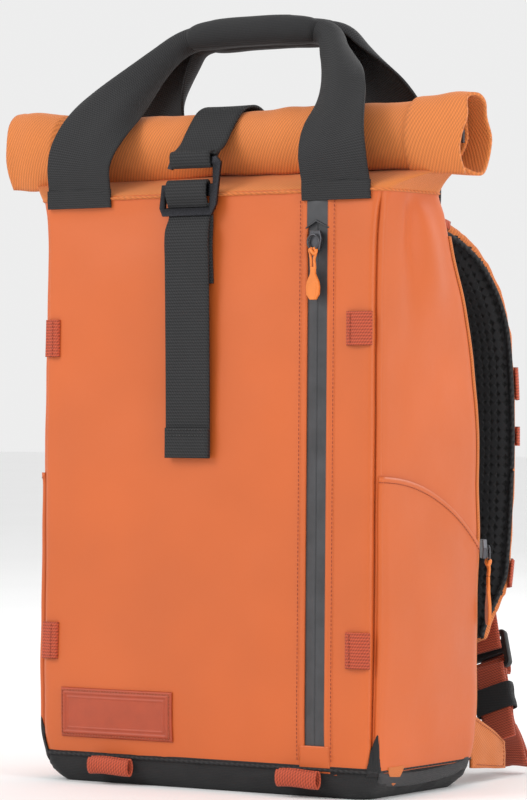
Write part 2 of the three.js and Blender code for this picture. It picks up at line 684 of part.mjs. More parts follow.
add("base_panel", basePanel(), "black");
const board = extruded(plateShape(240, 108, 14), 3).translate(0, -6, BASE_THICK + GAP + 1.5);
add("base_stiffener", board, "board");
addFront();
addZipPulls();
addSides();
addBack();
add("laptop_zip_tape", laptopZip(), "zip");
addLaptopPull();
addGearLoops();
add("collar", collar(), "twill");
add("roll_top", rollTop(), "twill");
const stay = new THREE.BoxGeometry(2 * ROLL_HALF_LENGTH - 16, 2.4, 9).translate(0, ROLL_Y, ROLL_Z);
add("roll_stiffener", stay, "board");
addClosure();
addHandles();
addShoulderStraps();
addStrapEnds();

export default part;
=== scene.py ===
import math

import bmesh
import bpy
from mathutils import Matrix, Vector, noise


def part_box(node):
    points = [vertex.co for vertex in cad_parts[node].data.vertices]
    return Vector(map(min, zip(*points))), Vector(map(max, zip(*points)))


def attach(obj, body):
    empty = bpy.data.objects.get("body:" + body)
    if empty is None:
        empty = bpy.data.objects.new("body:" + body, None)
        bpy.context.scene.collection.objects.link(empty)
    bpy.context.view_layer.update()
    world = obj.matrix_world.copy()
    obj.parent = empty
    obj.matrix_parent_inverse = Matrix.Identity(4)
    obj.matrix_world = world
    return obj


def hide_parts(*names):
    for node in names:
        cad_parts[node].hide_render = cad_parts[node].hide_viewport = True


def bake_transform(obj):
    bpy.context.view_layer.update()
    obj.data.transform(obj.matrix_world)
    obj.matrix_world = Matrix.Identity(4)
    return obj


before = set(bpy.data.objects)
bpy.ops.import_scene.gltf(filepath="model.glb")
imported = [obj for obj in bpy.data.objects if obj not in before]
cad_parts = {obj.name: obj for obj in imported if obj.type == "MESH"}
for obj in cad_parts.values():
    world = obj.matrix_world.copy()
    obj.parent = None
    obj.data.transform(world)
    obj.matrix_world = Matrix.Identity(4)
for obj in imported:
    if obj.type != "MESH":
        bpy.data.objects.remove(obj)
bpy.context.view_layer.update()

# The model is laid out in millimetres in the row frame, and written out in metres.
MM = 0.001
FRONT, RIGHT, BACK, LEFT = 0, 1, 2, 3

# ---------------------------------------------------------------- camera and light
CAMERA_AZIMUTH = math.radians(34)
CAMERA_DISTANCE = 2.802
CAMERA_HEIGHT = 0.282
CAMERA_LENS = 170.5


def make_camera():
    data = bpy.data.cameras.new("camera")
    data.lens = CAMERA_LENS
    data.sensor_width = 36
    data.clip_end = 50
    camera = bpy.data.objects.new("camera", data)
    bpy.context.scene.collection.objects.link(camera)
    back = Vector((math.sin(CAMERA_AZIMUTH), -math.cos(CAMERA_AZIMUTH), 0))
    camera.location = back * CAMERA_DISTANCE + Vector((0, 0, CAMERA_HEIGHT))
    camera.rotation_euler = (math.radians(90), 0, CAMERA_AZIMUTH)
    bpy.context.scene.camera = camera


def area_light(name, place, aim, size, power):
    data = bpy.data.lights.new(name, "AREA")
    data.shape = "RECTANGLE"
    data.size, data.size_y = size
    data.energy = power
    light = bpy.data.objects.new(name, data)
    light.location = place
    light.rotation_euler = (Vector(aim) - Vector(place)).to_track_quat("-Z", "Y").to_euler()
    bpy.context.scene.collection.objects.link(light)


make_camera()
area_light("key", (-1.6, -2.4, 2.2), (0, 0, 0.3), (1.6, 1.6), 44)
area_light("side", (2.6, -0.7, 1.2), (0, 0, 0.3), (0.9, 1.8), 24)
area_light("rim", (0.6, 2.4, 1.9), (0, 0, 0.3), (1.6, 1.0), 26)
world = bpy.data.worlds.new("world")
world.use_nodes = True
world.node_tree.nodes["Background"].inputs[0].default_value = (1, 1, 1, 1)
world.node_tree.nodes["Background"].inputs[1].default_value = 0.85
bpy.context.scene.world = world
bpy.context.scene.view_settings.view_transform = "Standard"


# ---------------------------------------------------------------- materials
class Nodes:
    """Short calls for building a node material."""

    def __init__(self, name):
        self.material = bpy.data.materials.new(name)
        self.material.use_nodes = True
        self.tree = self.material.node_tree
        self.shader = self.tree.nodes["Principled BSDF"]

    def add(self, kind, inputs=None, **settings):
        node = self.tree.nodes.new(kind)
        for key, value in settings.items():
            setattr(node, key, value)
        for key, value in (inputs or {}).items():
            self.put(node.inputs[key], value)
        return node

    def put(self, socket, value):
        if isinstance(value, bpy.types.NodeSocket):
            self.tree.links.new(value, socket)
        else:
            socket.default_value = value

    def math(self, operation, a, b=0.0):
        return self.add("ShaderNodeMath", {0: a, 1: b}, operation=operation).outputs[0]

    def coords(self, kind, scale=(1, 1, 1)):
        source = self.add("ShaderNodeTexCoord").outputs[kind]
        return self.add("ShaderNodeMapping", {"Vector": source, "Scale": scale}).outputs[0]

    def noise(self, vector, scale, detail=3.0, rough=0.55):
        node = self.add("ShaderNodeTexNoise", {"Vector": vector, "Scale": scale, "Detail": detail,
                                               "Roughness": rough})
        return node.outputs[0]

    def wave(self, vector, scale, distort=0.0, direction="X", profile="SIN"):
        node = self.add("ShaderNodeTexWave", {"Vector": vector, "Scale": scale, "Distortion": distort,
                                              "Detail": 1.0, "Detail Scale": 2.0},
                        bands_direction=direction, wave_profile=profile)
        return node.outputs["Fac"]

    def ramp(self, factor, low, high, at=(0.0, 1.0)):
        node = self.add("ShaderNodeValToRGB", {0: factor})
        node.color_ramp.elements[0].position = at[0]
        node.color_ramp.elements[1].position = at[1]
        node.color_ramp.elements[0].color = (*low, 1)
        node.color_ramp.elements[1].color = (*high, 1)
        return node.outputs[0]

    def span(self, factor, low, high):
        node = self.add("ShaderNodeMapRange", {0: factor, 3: low, 4: high})
        return node.outputs[0]

    def bump(self, height, strength, distance, under=None):
        node = self.add("ShaderNodeBump", {"Height": height, "Strength": strength, "Distance": distance})
        if under is not None:
            self.tree.links.new(under, node.inputs["Normal"])
        return node.outputs[0]

    def finish(self, color, roughness, normal, metallic=0.0, sheen=0.0, coat=0.0):
        shader = self.shader.inputs
        self.put(shader["Base Color"], color)
        self.put(shader["Roughness"], roughness)
        self.put(shader["Normal"], normal)
        shader["Metallic"].default_value = metallic
        shader["Sheen Weight"].default_value = sheen
        shader["Sheen Roughness"].default_value = 0.5
        shader["Coat Weight"].default_value = coat
        shader["Coat Roughness"].default_value = 0.4
        return self.material


def scaled(color, k):
    return tuple(min(c * k, 1) for c in color)


def coated_cloth(name, color):
    n = Nodes(name)
    place = n.coords("Object")
    broad = n.noise(place, 9, 2)
    fine = n.noise(place, 1500, 2, 0.7)
    grain = n.noise(place, 320, 4, 0.6)
    scuff = n.noise(place, 55, 5, 0.7)
    tint = n.ramp(broad, scaled(color, 0.93), scaled(color, 1.05), (0.3, 0.7))
    rough = n.math("ADD", n.span(scuff, 0.38, 0.56), n.span(fine, -0.03, 0.03))
    soft = n.bump(n.noise(place, 26, 3, 0.5), 0.25, 0.002)
    normal = n.bump(grain, 0.12, 0.0004, soft)
    normal = n.bump(fine, 0.1, 0.0002, normal)
    return n.finish(tint, rough, normal, sheen=0.03)


# A wave texture of scale k repeats every WAVE_PERIOD / k.
WAVE_PERIOD = 2 * math.pi / 20


def twill_cloth(name, color, pitch=1.9, depth=0.5):
    n = Nodes(name)
    scale = WAVE_PERIOD / (pitch * MM)
    place = n.coords("UV")
    slant = n.add("ShaderNodeMapping", {"Vector": place, "Rotation": (0.0, 0.0, 0.9)}).outputs[0]
    lines = n.wave(slant, scale, 0.5)
    cross = n.wave(slant, scale * 1.6, 0.3, "Y")
    weave = n.math("ADD", n.math("MULTIPLY", lines, 0.7), n.math("MULTIPLY", cross, 0.3))
    fuzz = n.noise(n.coords("Object"), 900, 3)
    worn = n.noise(n.coords("Object"), 18, 4)
    shade = n.math("ADD", n.math("MULTIPLY", weave, 0.6), n.math("MULTIPLY", worn, 0.4))
    tint = n.ramp(shade, scaled(color, 0.72), scaled(color, 1.16), (0.15, 0.85))
    normal = n.bump(n.noise(n.coords("Object"), 30, 3), 0.3, 0.002)
    normal = n.bump(weave, depth, 0.0004, normal)
    normal = n.bump(fuzz, 0.2, 0.0002, normal)
    return n.finish(tint, n.span(worn, 0.72, 0.92), normal, sheen=0.08)


def webbing(name, color, rib=1.6, sheen=0.25, contrast=0.55, along=True):
    """Ribbed webbing, with its pattern laid along the strip's own length."""
    n = Nodes(name)
    place = n.coords("UV", (1000, 1000, 1))
    chevron = n.add("ShaderNodeMapping", {"Vector": place, "Rotation": (0, 0, 0.62)}).outputs[0]
    ribs = n.wave(place, WAVE_PERIOD / rib, 0.15, "Y" if along else "X")
    picks = n.wave(chevron, WAVE_PERIOD / (rib * 0.8), 0.25, "X")
    weave = n.math("ADD", n.math("MULTIPLY", ribs, 0.55), n.math("MULTIPLY", picks, 0.45))
    worn = n.noise(n.coords("Object"), 40, 4)
    shade = n.math("ADD", n.math("MULTIPLY", weave, 0.75), n.math("MULTIPLY", worn, 0.25))
    tint = n.ramp(shade, scaled(color, 1 - contrast), scaled(color, 1 + contrast), (0.15, 0.85))
    normal = n.bump(weave, 0.75, 0.0005)
    normal = n.bump(n.noise(n.coords("Object"), 1400, 2), 0.2, 0.0002, normal)
    return n.finish(tint, n.span(weave, 0.86, 0.66), normal, sheen=sheen)


def air_mesh(name, color, cell=5.5):
    """Open spacer mesh: slanted rows of small holes."""
    n = Nodes(name)
    place = n.coords("UV", (1000 / cell, 1000 / cell * 0.8, 1))
    cells = n.add("ShaderNodeTexVoronoi", {"Vector": place, "Scale": 1.0, "Randomness": 0.18},
                  feature="F1", distance="MANHATTAN")
    hole = n.math("SUBTRACT", 1.0, n.span(cells.outputs["Distance"], 0.0, 1.0))
    deep = n.add("ShaderNodeMapRange", {0: hole, 1: 0.45, 2: 0.8, 3: 1.0, 4: 0.0}).outputs[0]
    knit = n.noise(n.coords("Object"), 1300, 2)
    tint = n.ramp(deep, scaled(color, 0.12), scaled(color, 1.5), (0.1, 0.9))
    normal = n.bump(deep, 1.0, 0.0014)
    normal = n.bump(knit, 0.4, 0.0003, normal)
    return n.finish(tint, n.span(knit, 0.8, 0.95), normal, sheen=0.0)


def plain_weave(name, color, pitch=1.2):
    n = Nodes(name)
    place = n.coords("Object")
    per = WAVE_PERIOD / (pitch * MM)
    a = n.wave(place, per, 0.2, "X")
    b = n.wave(place, per, 0.2, "Z")
    weave = n.math("MULTIPLY", a, b)
    worn = n.noise(place, 30, 4)
    tint = n.ramp(n.math("ADD", n.math("MULTIPLY", weave, 0.7), n.math("MULTIPLY", worn, 0.4)),
                  scaled(color, 0.5), scaled(color, 1.6))
    normal = n.bump(n.noise(place, 45, 3), 0.35, 0.002)
    normal = n.bump(weave, 0.6, 0.0004, normal)
    return n.finish(tint, n.span(worn, 0.7, 0.9), normal, sheen=0.03)


def smooth_tape(name, color):
    n = Nodes(name)
    place = n.coords("Object")
    fine = n.noise(place, 1100, 3)
    worn = n.noise(place, 60, 4)
    tint = n.ramp(worn, scaled(color, 0.75), scaled(color, 1.25), (0.3, 0.7))
    return n.finish(tint, n.span(worn, 0.38, 0.55), n.bump(fine, 0.2, 0.0002))


def metal(name, color, rough=0.32, edge=1.5):
    n = Nodes(name)
    place = n.coords("Object")
    # Sharp edges get a lighter tint from pointiness: partly edge wear, partly a painted highlight.
    pointy = n.add("ShaderNodeNewGeometry").outputs["Pointiness"]
    worn = n.add("ShaderNodeMapRange", {0: pointy, 1: 0.5, 2: 0.6, 3: 0.0, 4: 1.0}).outputs[0]
    fine = n.noise(place, 800, 4)
    shade = n.math("ADD", n.math("MULTIPLY", worn, 0.7), n.math("MULTIPLY", fine, 0.3))
    tint = n.ramp(shade, scaled(color, 0.8), scaled(color, edge), (0.1, 0.9))
    return n.finish(tint, n.span(fine, rough - 0.08, rough + 0.1), n.bump(fine, 0.1, 0.0002), metallic=0.85)


def moulded(name, color, rough=0.45):
    n = Nodes(name)
    place = n.coords("Object")
    grain = n.noise(place, 1400, 3, 0.6)
    worn = n.noise(place, 70, 4)
    tint = n.ramp(worn, scaled(color, 0.93), scaled(color, 1.07), (0.3, 0.7))
    return n.finish(tint, n.span(worn, rough - 0.04, rough + 0.06), n.bump(grain, 0.3, 0.0002))


ORANGE = (0.585, 0.114, 0.017)
TARP = coated_cloth("coated_cloth", ORANGE)
TWILL = twill_cloth("orange_twill", (0.66, 0.195, 0.042))
TWILL_UV = twill_cloth("orange_binding", (0.6, 0.165, 0.035), 1.6)
RED = webbing("red_webbing", (0.42, 0.062, 0.022), 2.2, 0.05, 0.4)
DARK_RED = webbing("dark_red_webbing", (0.36, 0.06, 0.026), 2.0, 0.05, 0.45)
BLACK_WEB = webbing("black_webbing", (0.011, 0.011, 0.012), 2.2, 0.0, 0.7)
BLACK_TWILL = webbing("black_twill_webbing", (0.012, 0.012, 0.013), 1.6, 0.0, 0.6)
BLACK_CLOTH = plain_weave("black_cloth", (0.01, 0.01, 0.011))
MESH = air_mesh("air_mesh", (0.01, 0.01, 0.011))
TAPE = smooth_tape("zip_tape", (0.045, 0.046, 0.05))
COIL = webbing("zip_coil", (0.02, 0.02, 0.022), 1.6, 0.1, 0.6)
# Both metals lighten their sharp edges (1.9 and 3.0 times): partly edge wear, partly painted highlight.
METAL = metal("gunmetal", (0.06, 0.06, 0.066), 0.34, 1.9)
HOOK = metal("black_hook_metal", (0.012, 0.012, 0.014), 0.26, 3.0)
PLASTIC = moulded("black_plastic", (0.01, 0.01, 0.011))
RUBBER = moulded("orange_rubber", (0.74, 0.2, 0.03), 0.5)
PATCH = moulded("patch_rubber", (0.4, 0.062, 0.021), 0.5)
BOARD = moulded("board", (0.05, 0.05, 0.055), 0.6)
THREAD = webbing("orange_thread", (0.5, 0.1, 0.02), 0.6, 0.2, 0.3)
RED_THREAD = webbing("red_thread", (0.36, 0.05, 0.02), 0.6, 0.05, 0.3)
BLACK_THREAD = webbing("black_thread", (0.02, 0.02, 0.02), 0.6, 0.2, 0.3)


# ---------------------------------------------------------------- body outline, as in the CAD
def profile(stations):
    """Smooth curve through (height, value) stations."""
    xs = [a for a, _ in stations]
    ys = [b for _, b in stations]
    last = len(xs) - 1
    slopes = [(ys[i + 1] - ys[i - 1]) / (xs[i + 1] - xs[i - 1]) for i in range(1, last)]
    first = 1.5 * (ys[1] - ys[0]) / (xs[1] - xs[0]) - 0.5 * slopes[0]
    final = 1.5 * (ys[last] - ys[last - 1]) / (xs[last] - xs[last - 1]) - 0.5 * slopes[-1]
    slopes = [first, *slopes, final]

    def value(x):
        x = min(max(x, xs[0]), xs[-1])
        i = max(k for k in range(last) if xs[k] <= x)
        h = xs[i + 1] - xs[i]
        u = (x - xs[i]) / h
        a = ys[i] * (2 * u**3 - 3 * u**2 + 1) + ys[i + 1] * (3 * u**2 - 2 * u**3)
        return a + h * (slopes[i] * (u**3 - 2 * u**2 + u) + slopes[i + 1] * (u**3 - u**2))

    return value


half_width = profile([(0, 134), (12, 143), (40, 147), (250, 148), (390, 148), (432, 152)])
front_y = profile([(0, -70), (12, -77), (40, -79.6), (90, -79.2), (250, -77), (350, -75.6), (432, -74.4)])
back_y = profile([(0, 58), (12, 66), (40, 69), (250, 69), (290, 67), (330, 60), (385, 36), (432, 14)])
FRONT_RADIUS, BACK_RADIUS, ARC = 11, 22, 0.12
BASE_TOP, SEAM_Z = 20, 430
ZIP_X, ZIP_HALF, ZIP_BOTTOM, ZIP_TOP = 97, 10, 34, 402
POCKET_TOP, POCKET_FALL = 228, 54
ARCH_FOOT, ARCH_SPRING, ARCH_RISE, ARCH_SHARE = 150, 300, 84, 0.42
PATCH_BOX = (-125, -25, 33.5, 70)


def smooth(x, a, b):
    u = min(max((x - a) / (b - a), 0), 1)
    return u * u * (3 - 2 * u)


def lerp(a, b, t):
    return a + (b - a) * t


def wobble(x, y, z, scale):
    return noise.noise(Vector((x, y, z)) / scale)


def outline(side, s, z, off):
    a, yf, yb = half_width(z), front_y(z), back_y(z)
    corners = [(-a, yf, FRONT_RADIUS, 180), (a, yf, FRONT_RADIUS, 270), (a, yb, BACK_RADIUS, 0),
               (-a, yb, BACK_RADIUS, 90)]

    def arc(corner, degrees):
        x, y, r, _ = corner
        centre = Vector((x - math.copysign(r, x), y + r if y == yf else y - r, z))
        angle = math.radians(degrees)
        return centre + Vector((math.cos(angle), math.sin(angle), 0)) * (r + off)

    start, end = corners[side], corners[(side + 1) % 4]
    facing = start[3] + 90
    if s < ARC:
        return arc(start, facing - 45 * (1 - s / ARC))
    if s > 1 - ARC:
        return arc(end, facing + 45 * (1 - (1 - s) / ARC))
    return arc(start, facing).lerp(arc(end, facing), (s - ARC) / (1 - 2 * ARC))


def puff(side, s, z):
    """How far the filled cloth stands off its outline: a crown, dents, and a groove at each seam."""
    rise = math.sin(math.pi * min(max((z - 14) / (SEAM_Z - 14), 0), 1)) ** 0.6
    edge = min(s, 1 - s)
    groove = -1.3 * math.exp(-((edge / 0.012) ** 2)) + 0.9 * math.exp(-(((edge - 0.055) / 0.026) ** 2))
    ends = smooth(z, 18, 40) * (1 - smooth(z, 415, 430))
    p = outline(side, s, z, 0)
    dents = 2.1 * wobble(p.x, p.y, p.z, 95) + 0.6 * wobble(p.x + 90, p.y, p.z, 34)
    if side == FRONT:
        calm = smooth(abs(p.x - ZIP_X), 13, 48)
        crown = 1.9 * (1 - abs(2 * s - 1) ** 3) * rise
        sag = 1.4 * math.exp(-(((z - 60) / 40) ** 2)) * (1 - abs(2 * s - 1))
        return (crown + sag + dents) * calm * ends + groove * ends
    if side in (RIGHT, LEFT):
        crown = 3.4 * math.sin(math.pi * s) * rise
        fold = 3.6 * math.exp(-(((s - 0.62) / 0.16) ** 2)) * smooth(z, 330, 372) * (1 - smooth(z, 400, 428))
        tuck = -3.8 * math.exp(-(((s - 0.33 - (z - 330) * 0.0014) / 0.09) ** 2)) * smooth(z, 300, 400)
        return (crown + fold + tuck + dents * 1.2) * ends + groove * ends * 1.1
    return (0.8 * rise + 0.3 * dents) * ends + groove * ends * 0.6


def body(side, s, z, off=0.0):
    return outline(side, s, z, off + puff(side, s, z))


def front(x, z, off=0.0):
    a = half_width(z)
    flat = a - FRONT_RADIUS
    past = abs(x) - flat
    if past <= 0:
        s = ARC + (x + flat) / (2 * flat) * (1 - 2 * ARC)
    else:
        angle = math.degrees(math.asin(min(past / (FRONT_RADIUS + max(off, 0)), 0.7071)))
        s = 1 - ARC + ARC * angle / 45
        s = s if x > 0 else 1 - s
    return body(FRONT, s, z, off)


# ---------------------------------------------------------------- mesh makers
def link(name, mesh, material, riding, nodes=()):
    obj = bpy.data.objects.new(name, mesh)
    bpy.context.scene.collection.objects.link(obj)
    if material:
        mesh.materials.append(material)
    for polygon in mesh.polygons:
        polygon.use_smooth = True
    if nodes:
        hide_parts(*nodes)
    if riding:
        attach(obj, riding)
    return obj


def surface(name, at, across, along, material, riding, nodes=(), thick=0.0, offset=-1.0,
            wrap=False, flip=False):
    """A grid of at(s, t) in millimetres, with its pattern laid out in metres, made thick by Solidify."""
    points = [[at(i / across, j / along) for i in range(across + 1)] for j in range(along + 1)]
    mid = across // 2
    middle = points[along // 2]
    wide = sum((middle[i + 1] - middle[i]).length for i in range(across))
    run = [0.0]
    for j in range(along):
        run.append(run[-1] + (points[j + 1][mid] - points[j][mid]).length)
    mesh = bpy.data.meshes.new(name)
    verts = [p * MM for row in points for p in row]
    width = across + 1
    faces, uvs = [], []
    for j in range(along):
        for i in range(across):
            quad = [(i, j), (i + 1, j), (i + 1, j + 1), (i, j + 1)]
            if flip:
                quad.reverse()
            faces.append([b * width + a for a, b in quad])
            uvs.extend((wide * a / across * MM, run[b] * MM) for a, b in quad)
    mesh.from_pydata(verts, [], faces)
    layer = mesh.uv_layers.new(name="UVMap")
    for loop, uv in zip(layer.data, uvs):
        loop.uv = uv
    if wrap:
        bm = bmesh.new()
        bm.from_mesh(mesh)
        bmesh.ops.remove_doubles(bm, verts=bm.verts, dist=1e-6)
        bm.to_mesh(mesh)
        bm.free()
    obj = link(name, mesh, material, riding, nodes)
    if thick:
        solid = obj.modifiers.new("thickness", "SOLIDIFY")
        solid.thickness = thick * MM
        solid.offset = offset
    return obj


def spline(points, closed=False):
    """Smooth curve through the points, as a function of the share of its length."""
    pts = [Vector(p) for p in points]
    count = len(pts)
    spans = count if closed else count - 1

    def at(t):
        x = min(max(t, 0), 1) * spans
        i = min(int(x), spans - 1)
        u = x - i

        def pick(k):
            if closed:
                return pts[k % count]
            if k < 0:
                return pts[0] * 2 - pts[1]
            if k >= count:
                return pts[-1] * 2 - pts[-2]
            return pts[k]

        a, b, c, d = pick(i - 1), pick(i), pick(i + 1), pick(i + 2)
        m0, m1 = (c - a) * 0.5, (d - b) * 0.5
        return b * (2 * u**3 - 3 * u**2 + 1) + c * (3 * u**2 - 2 * u**3) + m0 * (u**3 - 2 * u**2 + u) \
            + m1 * (u**3 - u**2)

    def even(t, table=[]):
        if not table:
            steps = 40 * spans
            run = [0.0]
            for k in range(steps):
                run.append(run[-1] + (at((k + 1) / steps) - at(k / steps)).length)
            table.append((steps, run))
        steps, run = table[0]
        goal = min(max(t, 0), 1) * run[-1]
        low, high = 0, steps
        while high - low > 1:
            mid = (low + high) // 2
            if run[mid] <= goal:
                low = mid
            else:
                high = mid
        gap = run[high] - run[low] or 1
        return at((low + (goal - run[low]) / gap) / steps)

    return even


def direction(curve, t):
    return (curve(min(t + 0.004, 1)) - curve(max(t - 0.004, 0))).normalized()


def frame_at(curve, t, near):
    """Place, width and depth directions along a curve, with the width kept near the given direction."""
    along = direction(curve, t)
    wide = (near - along * near.dot(along)).normalized()
    return curve(t), wide, along.cross(wide).normalized()


def strip(name, points, half, material, riding, near=(1, 0, 0), nodes=(), thick=1.8, along=40,
          across=6, lift=None):
    """Webbing laid along a curve. half and lift may be functions of t, and of s and t."""
    curve = spline(points)
    near = Vector(near)

    def at(s, t):
        place, wide, deep = frame_at(curve, t, near)
        reach = half(t) if callable(half) else half
        rise = lift(s, t) if lift else 0.0
        return place + wide * reach * (2 * s - 1) + deep * rise

    return surface(name, at, across, along, material, riding, nodes, thick, 0.0)


def tube(name, points, radius, material, riding, sides=10, along=60, closed=False, nodes=()):
    curve = spline(points, closed)
    near = Vector((0, 0, 1))
    mesh = bpy.data.meshes.new(name)
    verts, faces, uvs = [], [], []
    rings = along if closed else along + 1
    for j in range(rings):
        t = j / along
        if closed:
            ahead = (curve((t + 0.004) % 1) - curve((t - 0.004) % 1)).normalized()
        else:
            ahead = direction(curve, t)
        wide = near - ahead * near.dot(ahead)
        if wide.length < 0.05:
            wide = Vector((0, 1, 0)) - ahead * ahead.y
        wide.normalize()
        deep = ahead.cross(wide)
        r = radius(t) if callable(radius) else radius
        for i in range(sides):
            angle = 2 * math.pi * i / sides
            verts.append((curve(t) + (wide * math.cos(angle) + deep * math.sin(angle)) * r) * MM)
    for j in range(along):
        k = (j + 1) % rings
        for i in range(sides):
            m = (i + 1) % sides
            faces.append((j * sides + i, j * sides + m, k * sides + m, k * sides + i))
            uvs.extend([(i, j), (i + 1, j), (i + 1, j + 1), (i, j + 1)])
    if not closed:
        faces.append(tuple(reversed(range(sides))))
        faces.append(tuple(along * sides + i for i in range(sides)))
        uvs.extend([(0, 0)] * (2 * sides))
    mesh.from_pydata(verts, [], faces)
    layer = mesh.uv_layers.new(name="UVMap")
    for loop, (u, v) in zip(layer.data, uvs):
        loop.uv = (u * 0.0006, v * 0.0008)
    return link(name, mesh, material, riding, nodes)


def stitches(name, place, length, material, riding, pitch=3.2, share=0.72, radius=0.32):
    """A row of short thread stitches along place(t), which gives a point and its outward direction."""
    count = max(int(length / pitch), 1)
    mesh = bpy.data.meshes.new(name)
    verts, faces = [], []
    for k in range(count):
        t0, t1 = (k + 0.5 - share / 2) / count, (k + 0.5 + share / 2) / count
        (a, up), (b, _) = place(t0), place(t1)
        along = (b - a).normalized()
        side = along.cross(up).normalized()
        base = len(verts)
        rows = [(0.0, 0.25, -0.1), (0.2, 1.0, 0.1), (0.8, 1.0, 0.1), (1.0, 0.25, -0.1)]
        for f, grow, lift in rows:
            centre = a.lerp(b, f) + up * (lift * radius * 3)
            for i in range(6):
                angle = math.pi * i / 3
                verts.append((centre + (side * math.cos(angle) + up * math.sin(angle)) * radius * grow) * MM)
        for low in (base, base + 6, base + 12):
            for i in range(6):
                j = (i + 1) % 6
                faces.append((low + i, low + j, low + 6 + j, low + 6 + i))
        faces.append(tuple(base + 5 - i for i in range(6)))
        faces.append(tuple(base + 18 + i for i in range(6)))
    mesh.from_pydata(verts, [], faces)
    mesh.uv_layers.new(name="UVMap")
    return link(name, mesh, material, riding)


def on_front(x, z, off=0.5):
    return front(x, z, off), Vector((0, -1, 0))


def plate_prism(name, corners, depth, frame_axes, material, riding, bevel=0.5):
    """A flat outline in (a, b) made solid along the third axis of frame_axes = (origin, A, B, N)."""
    origin, a, b, n = frame_axes
    bm = bmesh.new()
    low = [bm.verts.new((origin + a * u + b * v - n * depth / 2) * MM) for u, v in corners]
    high = [bm.verts.new((origin + a * u + b * v + n * depth / 2) * MM) for u, v in corners]
    bm.faces.new(low[::-1])
    bm.faces.new(high)
    for i in range(len(corners)):
        j = (i + 1) % len(corners)
        bm.faces.new((low[i], low[j], high[j], high[i]))
    bmesh.ops.recalc_face_normals(bm, faces=bm.faces)
    mesh = bpy.data.meshes.new(name)
    bm.to_mesh(mesh)
    bm.free()
    mesh.uv_layers.new(name="UVMap")
    obj = link(name, mesh, material, riding)
    for polygon in mesh.polygons:
        polygon.use_smooth = False
    edge = obj.modifiers.new("edge", "BEVEL")
    edge.width = bevel * MM
    edge.segments = 3
    edge.limit_method = "ANGLE"
    return obj


def apply_modifiers(obj):
    bpy.context.view_layer.update()
    ready = obj.evaluated_get(bpy.context.evaluated_depsgraph_get())
    mesh = bpy.data.meshes.new_from_object(ready)
    obj.modifiers.clear()
    obj.data = mesh
    for polygon in mesh.polygons:
        polygon.use_smooth = True
    return obj


VOXEL = 4.0
CLOTH_FRAMES = 20


def inflate(obj, cap, pressure=4.0, voxel=VOXEL):
    """Fills a padded piece: remesh, cloth under pressure, and no point moving further than cap."""
    remesh = obj.modifiers.new("remesh", "REMESH")
    remesh.mode = "VOXEL"
    remesh.voxel_size = voxel * MM
    remesh.use_smooth_shade = True
    apply_modifiers(obj)
    rest = [v.co.copy() for v in obj.data.vertices]
    cloth = obj.modifiers.new("cloth", "CLOTH")
    cloth.settings.quality = 4
    cloth.settings.mass = 0.3
    cloth.settings.tension_stiffness = 20
    cloth.settings.compression_stiffness = 20
    cloth.settings.shear_stiffness = 8
    cloth.settings.bending_stiffness = 1.0
    cloth.settings.use_pressure = True
    cloth.settings.uniform_pressure_force = pressure
    cloth.settings.effector_weights.gravity = 0
    cloth.collision_settings.use_collision = False
    cloth.point_cache.frame_start = 1
    cloth.point_cache.frame_end = CLOTH_FRAMES
    for step in range(1, CLOTH_FRAMES + 1):
        bpy.context.scene.frame_set(step)
    apply_modifiers(obj)
    bpy.context.scene.frame_set(1)
    for vertex, start in zip(obj.data.vertices, rest):
        moved = vertex.co - start
        if moved.length > cap * MM:
            vertex.co = start + moved.normalized() * cap * MM
    calm = obj.modifiers.new("calm", "SMOOTH")
    calm.factor = 0.5
    calm.iterations = 4
    fine = obj.modifiers.new("fine", "SUBSURF")
    fine.levels = fine.render_levels = 1
    return apply_modifiers(obj)


def closed_solid(name, outer, inner, across, along, material, nodes):
    """A padded block between two surfaces, as one closed mesh."""
    rows = []
    for j in range(along + 1):
        t = j / along
        ring = [outer(i / across, t) for i in range(across + 1)]
        ring += [inner(i / across, t) for i in range(across, -1, -1)]
        rows.append(ring)
    size = len(rows[0])
    verts = [p * MM for row in rows for p in row]
    faces = []
    for j in range(along):
        for i in range(size):
            k = (i + 1) % size
            faces.append((j * size + i, j * size + k, (j + 1) * size + k, (j + 1) * size + i))
    faces.append(tuple(reversed(range(size))))
    faces.append(tuple(along * size + i for i in range(size)))
    mesh = bpy.data.meshes.new(name)
    mesh.from_pydata(verts, [], faces)
    bm = bmesh.new()
    bm.from_mesh(mesh)
    bmesh.ops.triangulate(bm, faces=[f for f in bm.faces if len(f.verts) > 4])
    bmesh.ops.recalc_face_normals(bm, faces=bm.faces)
    bm.to_mesh(mesh)
    bm.free()
    return link(name, mesh, material, None, nodes)


def mirror_points(points, sign):
    return [(x * sign, y, z) for x, y, z in points]


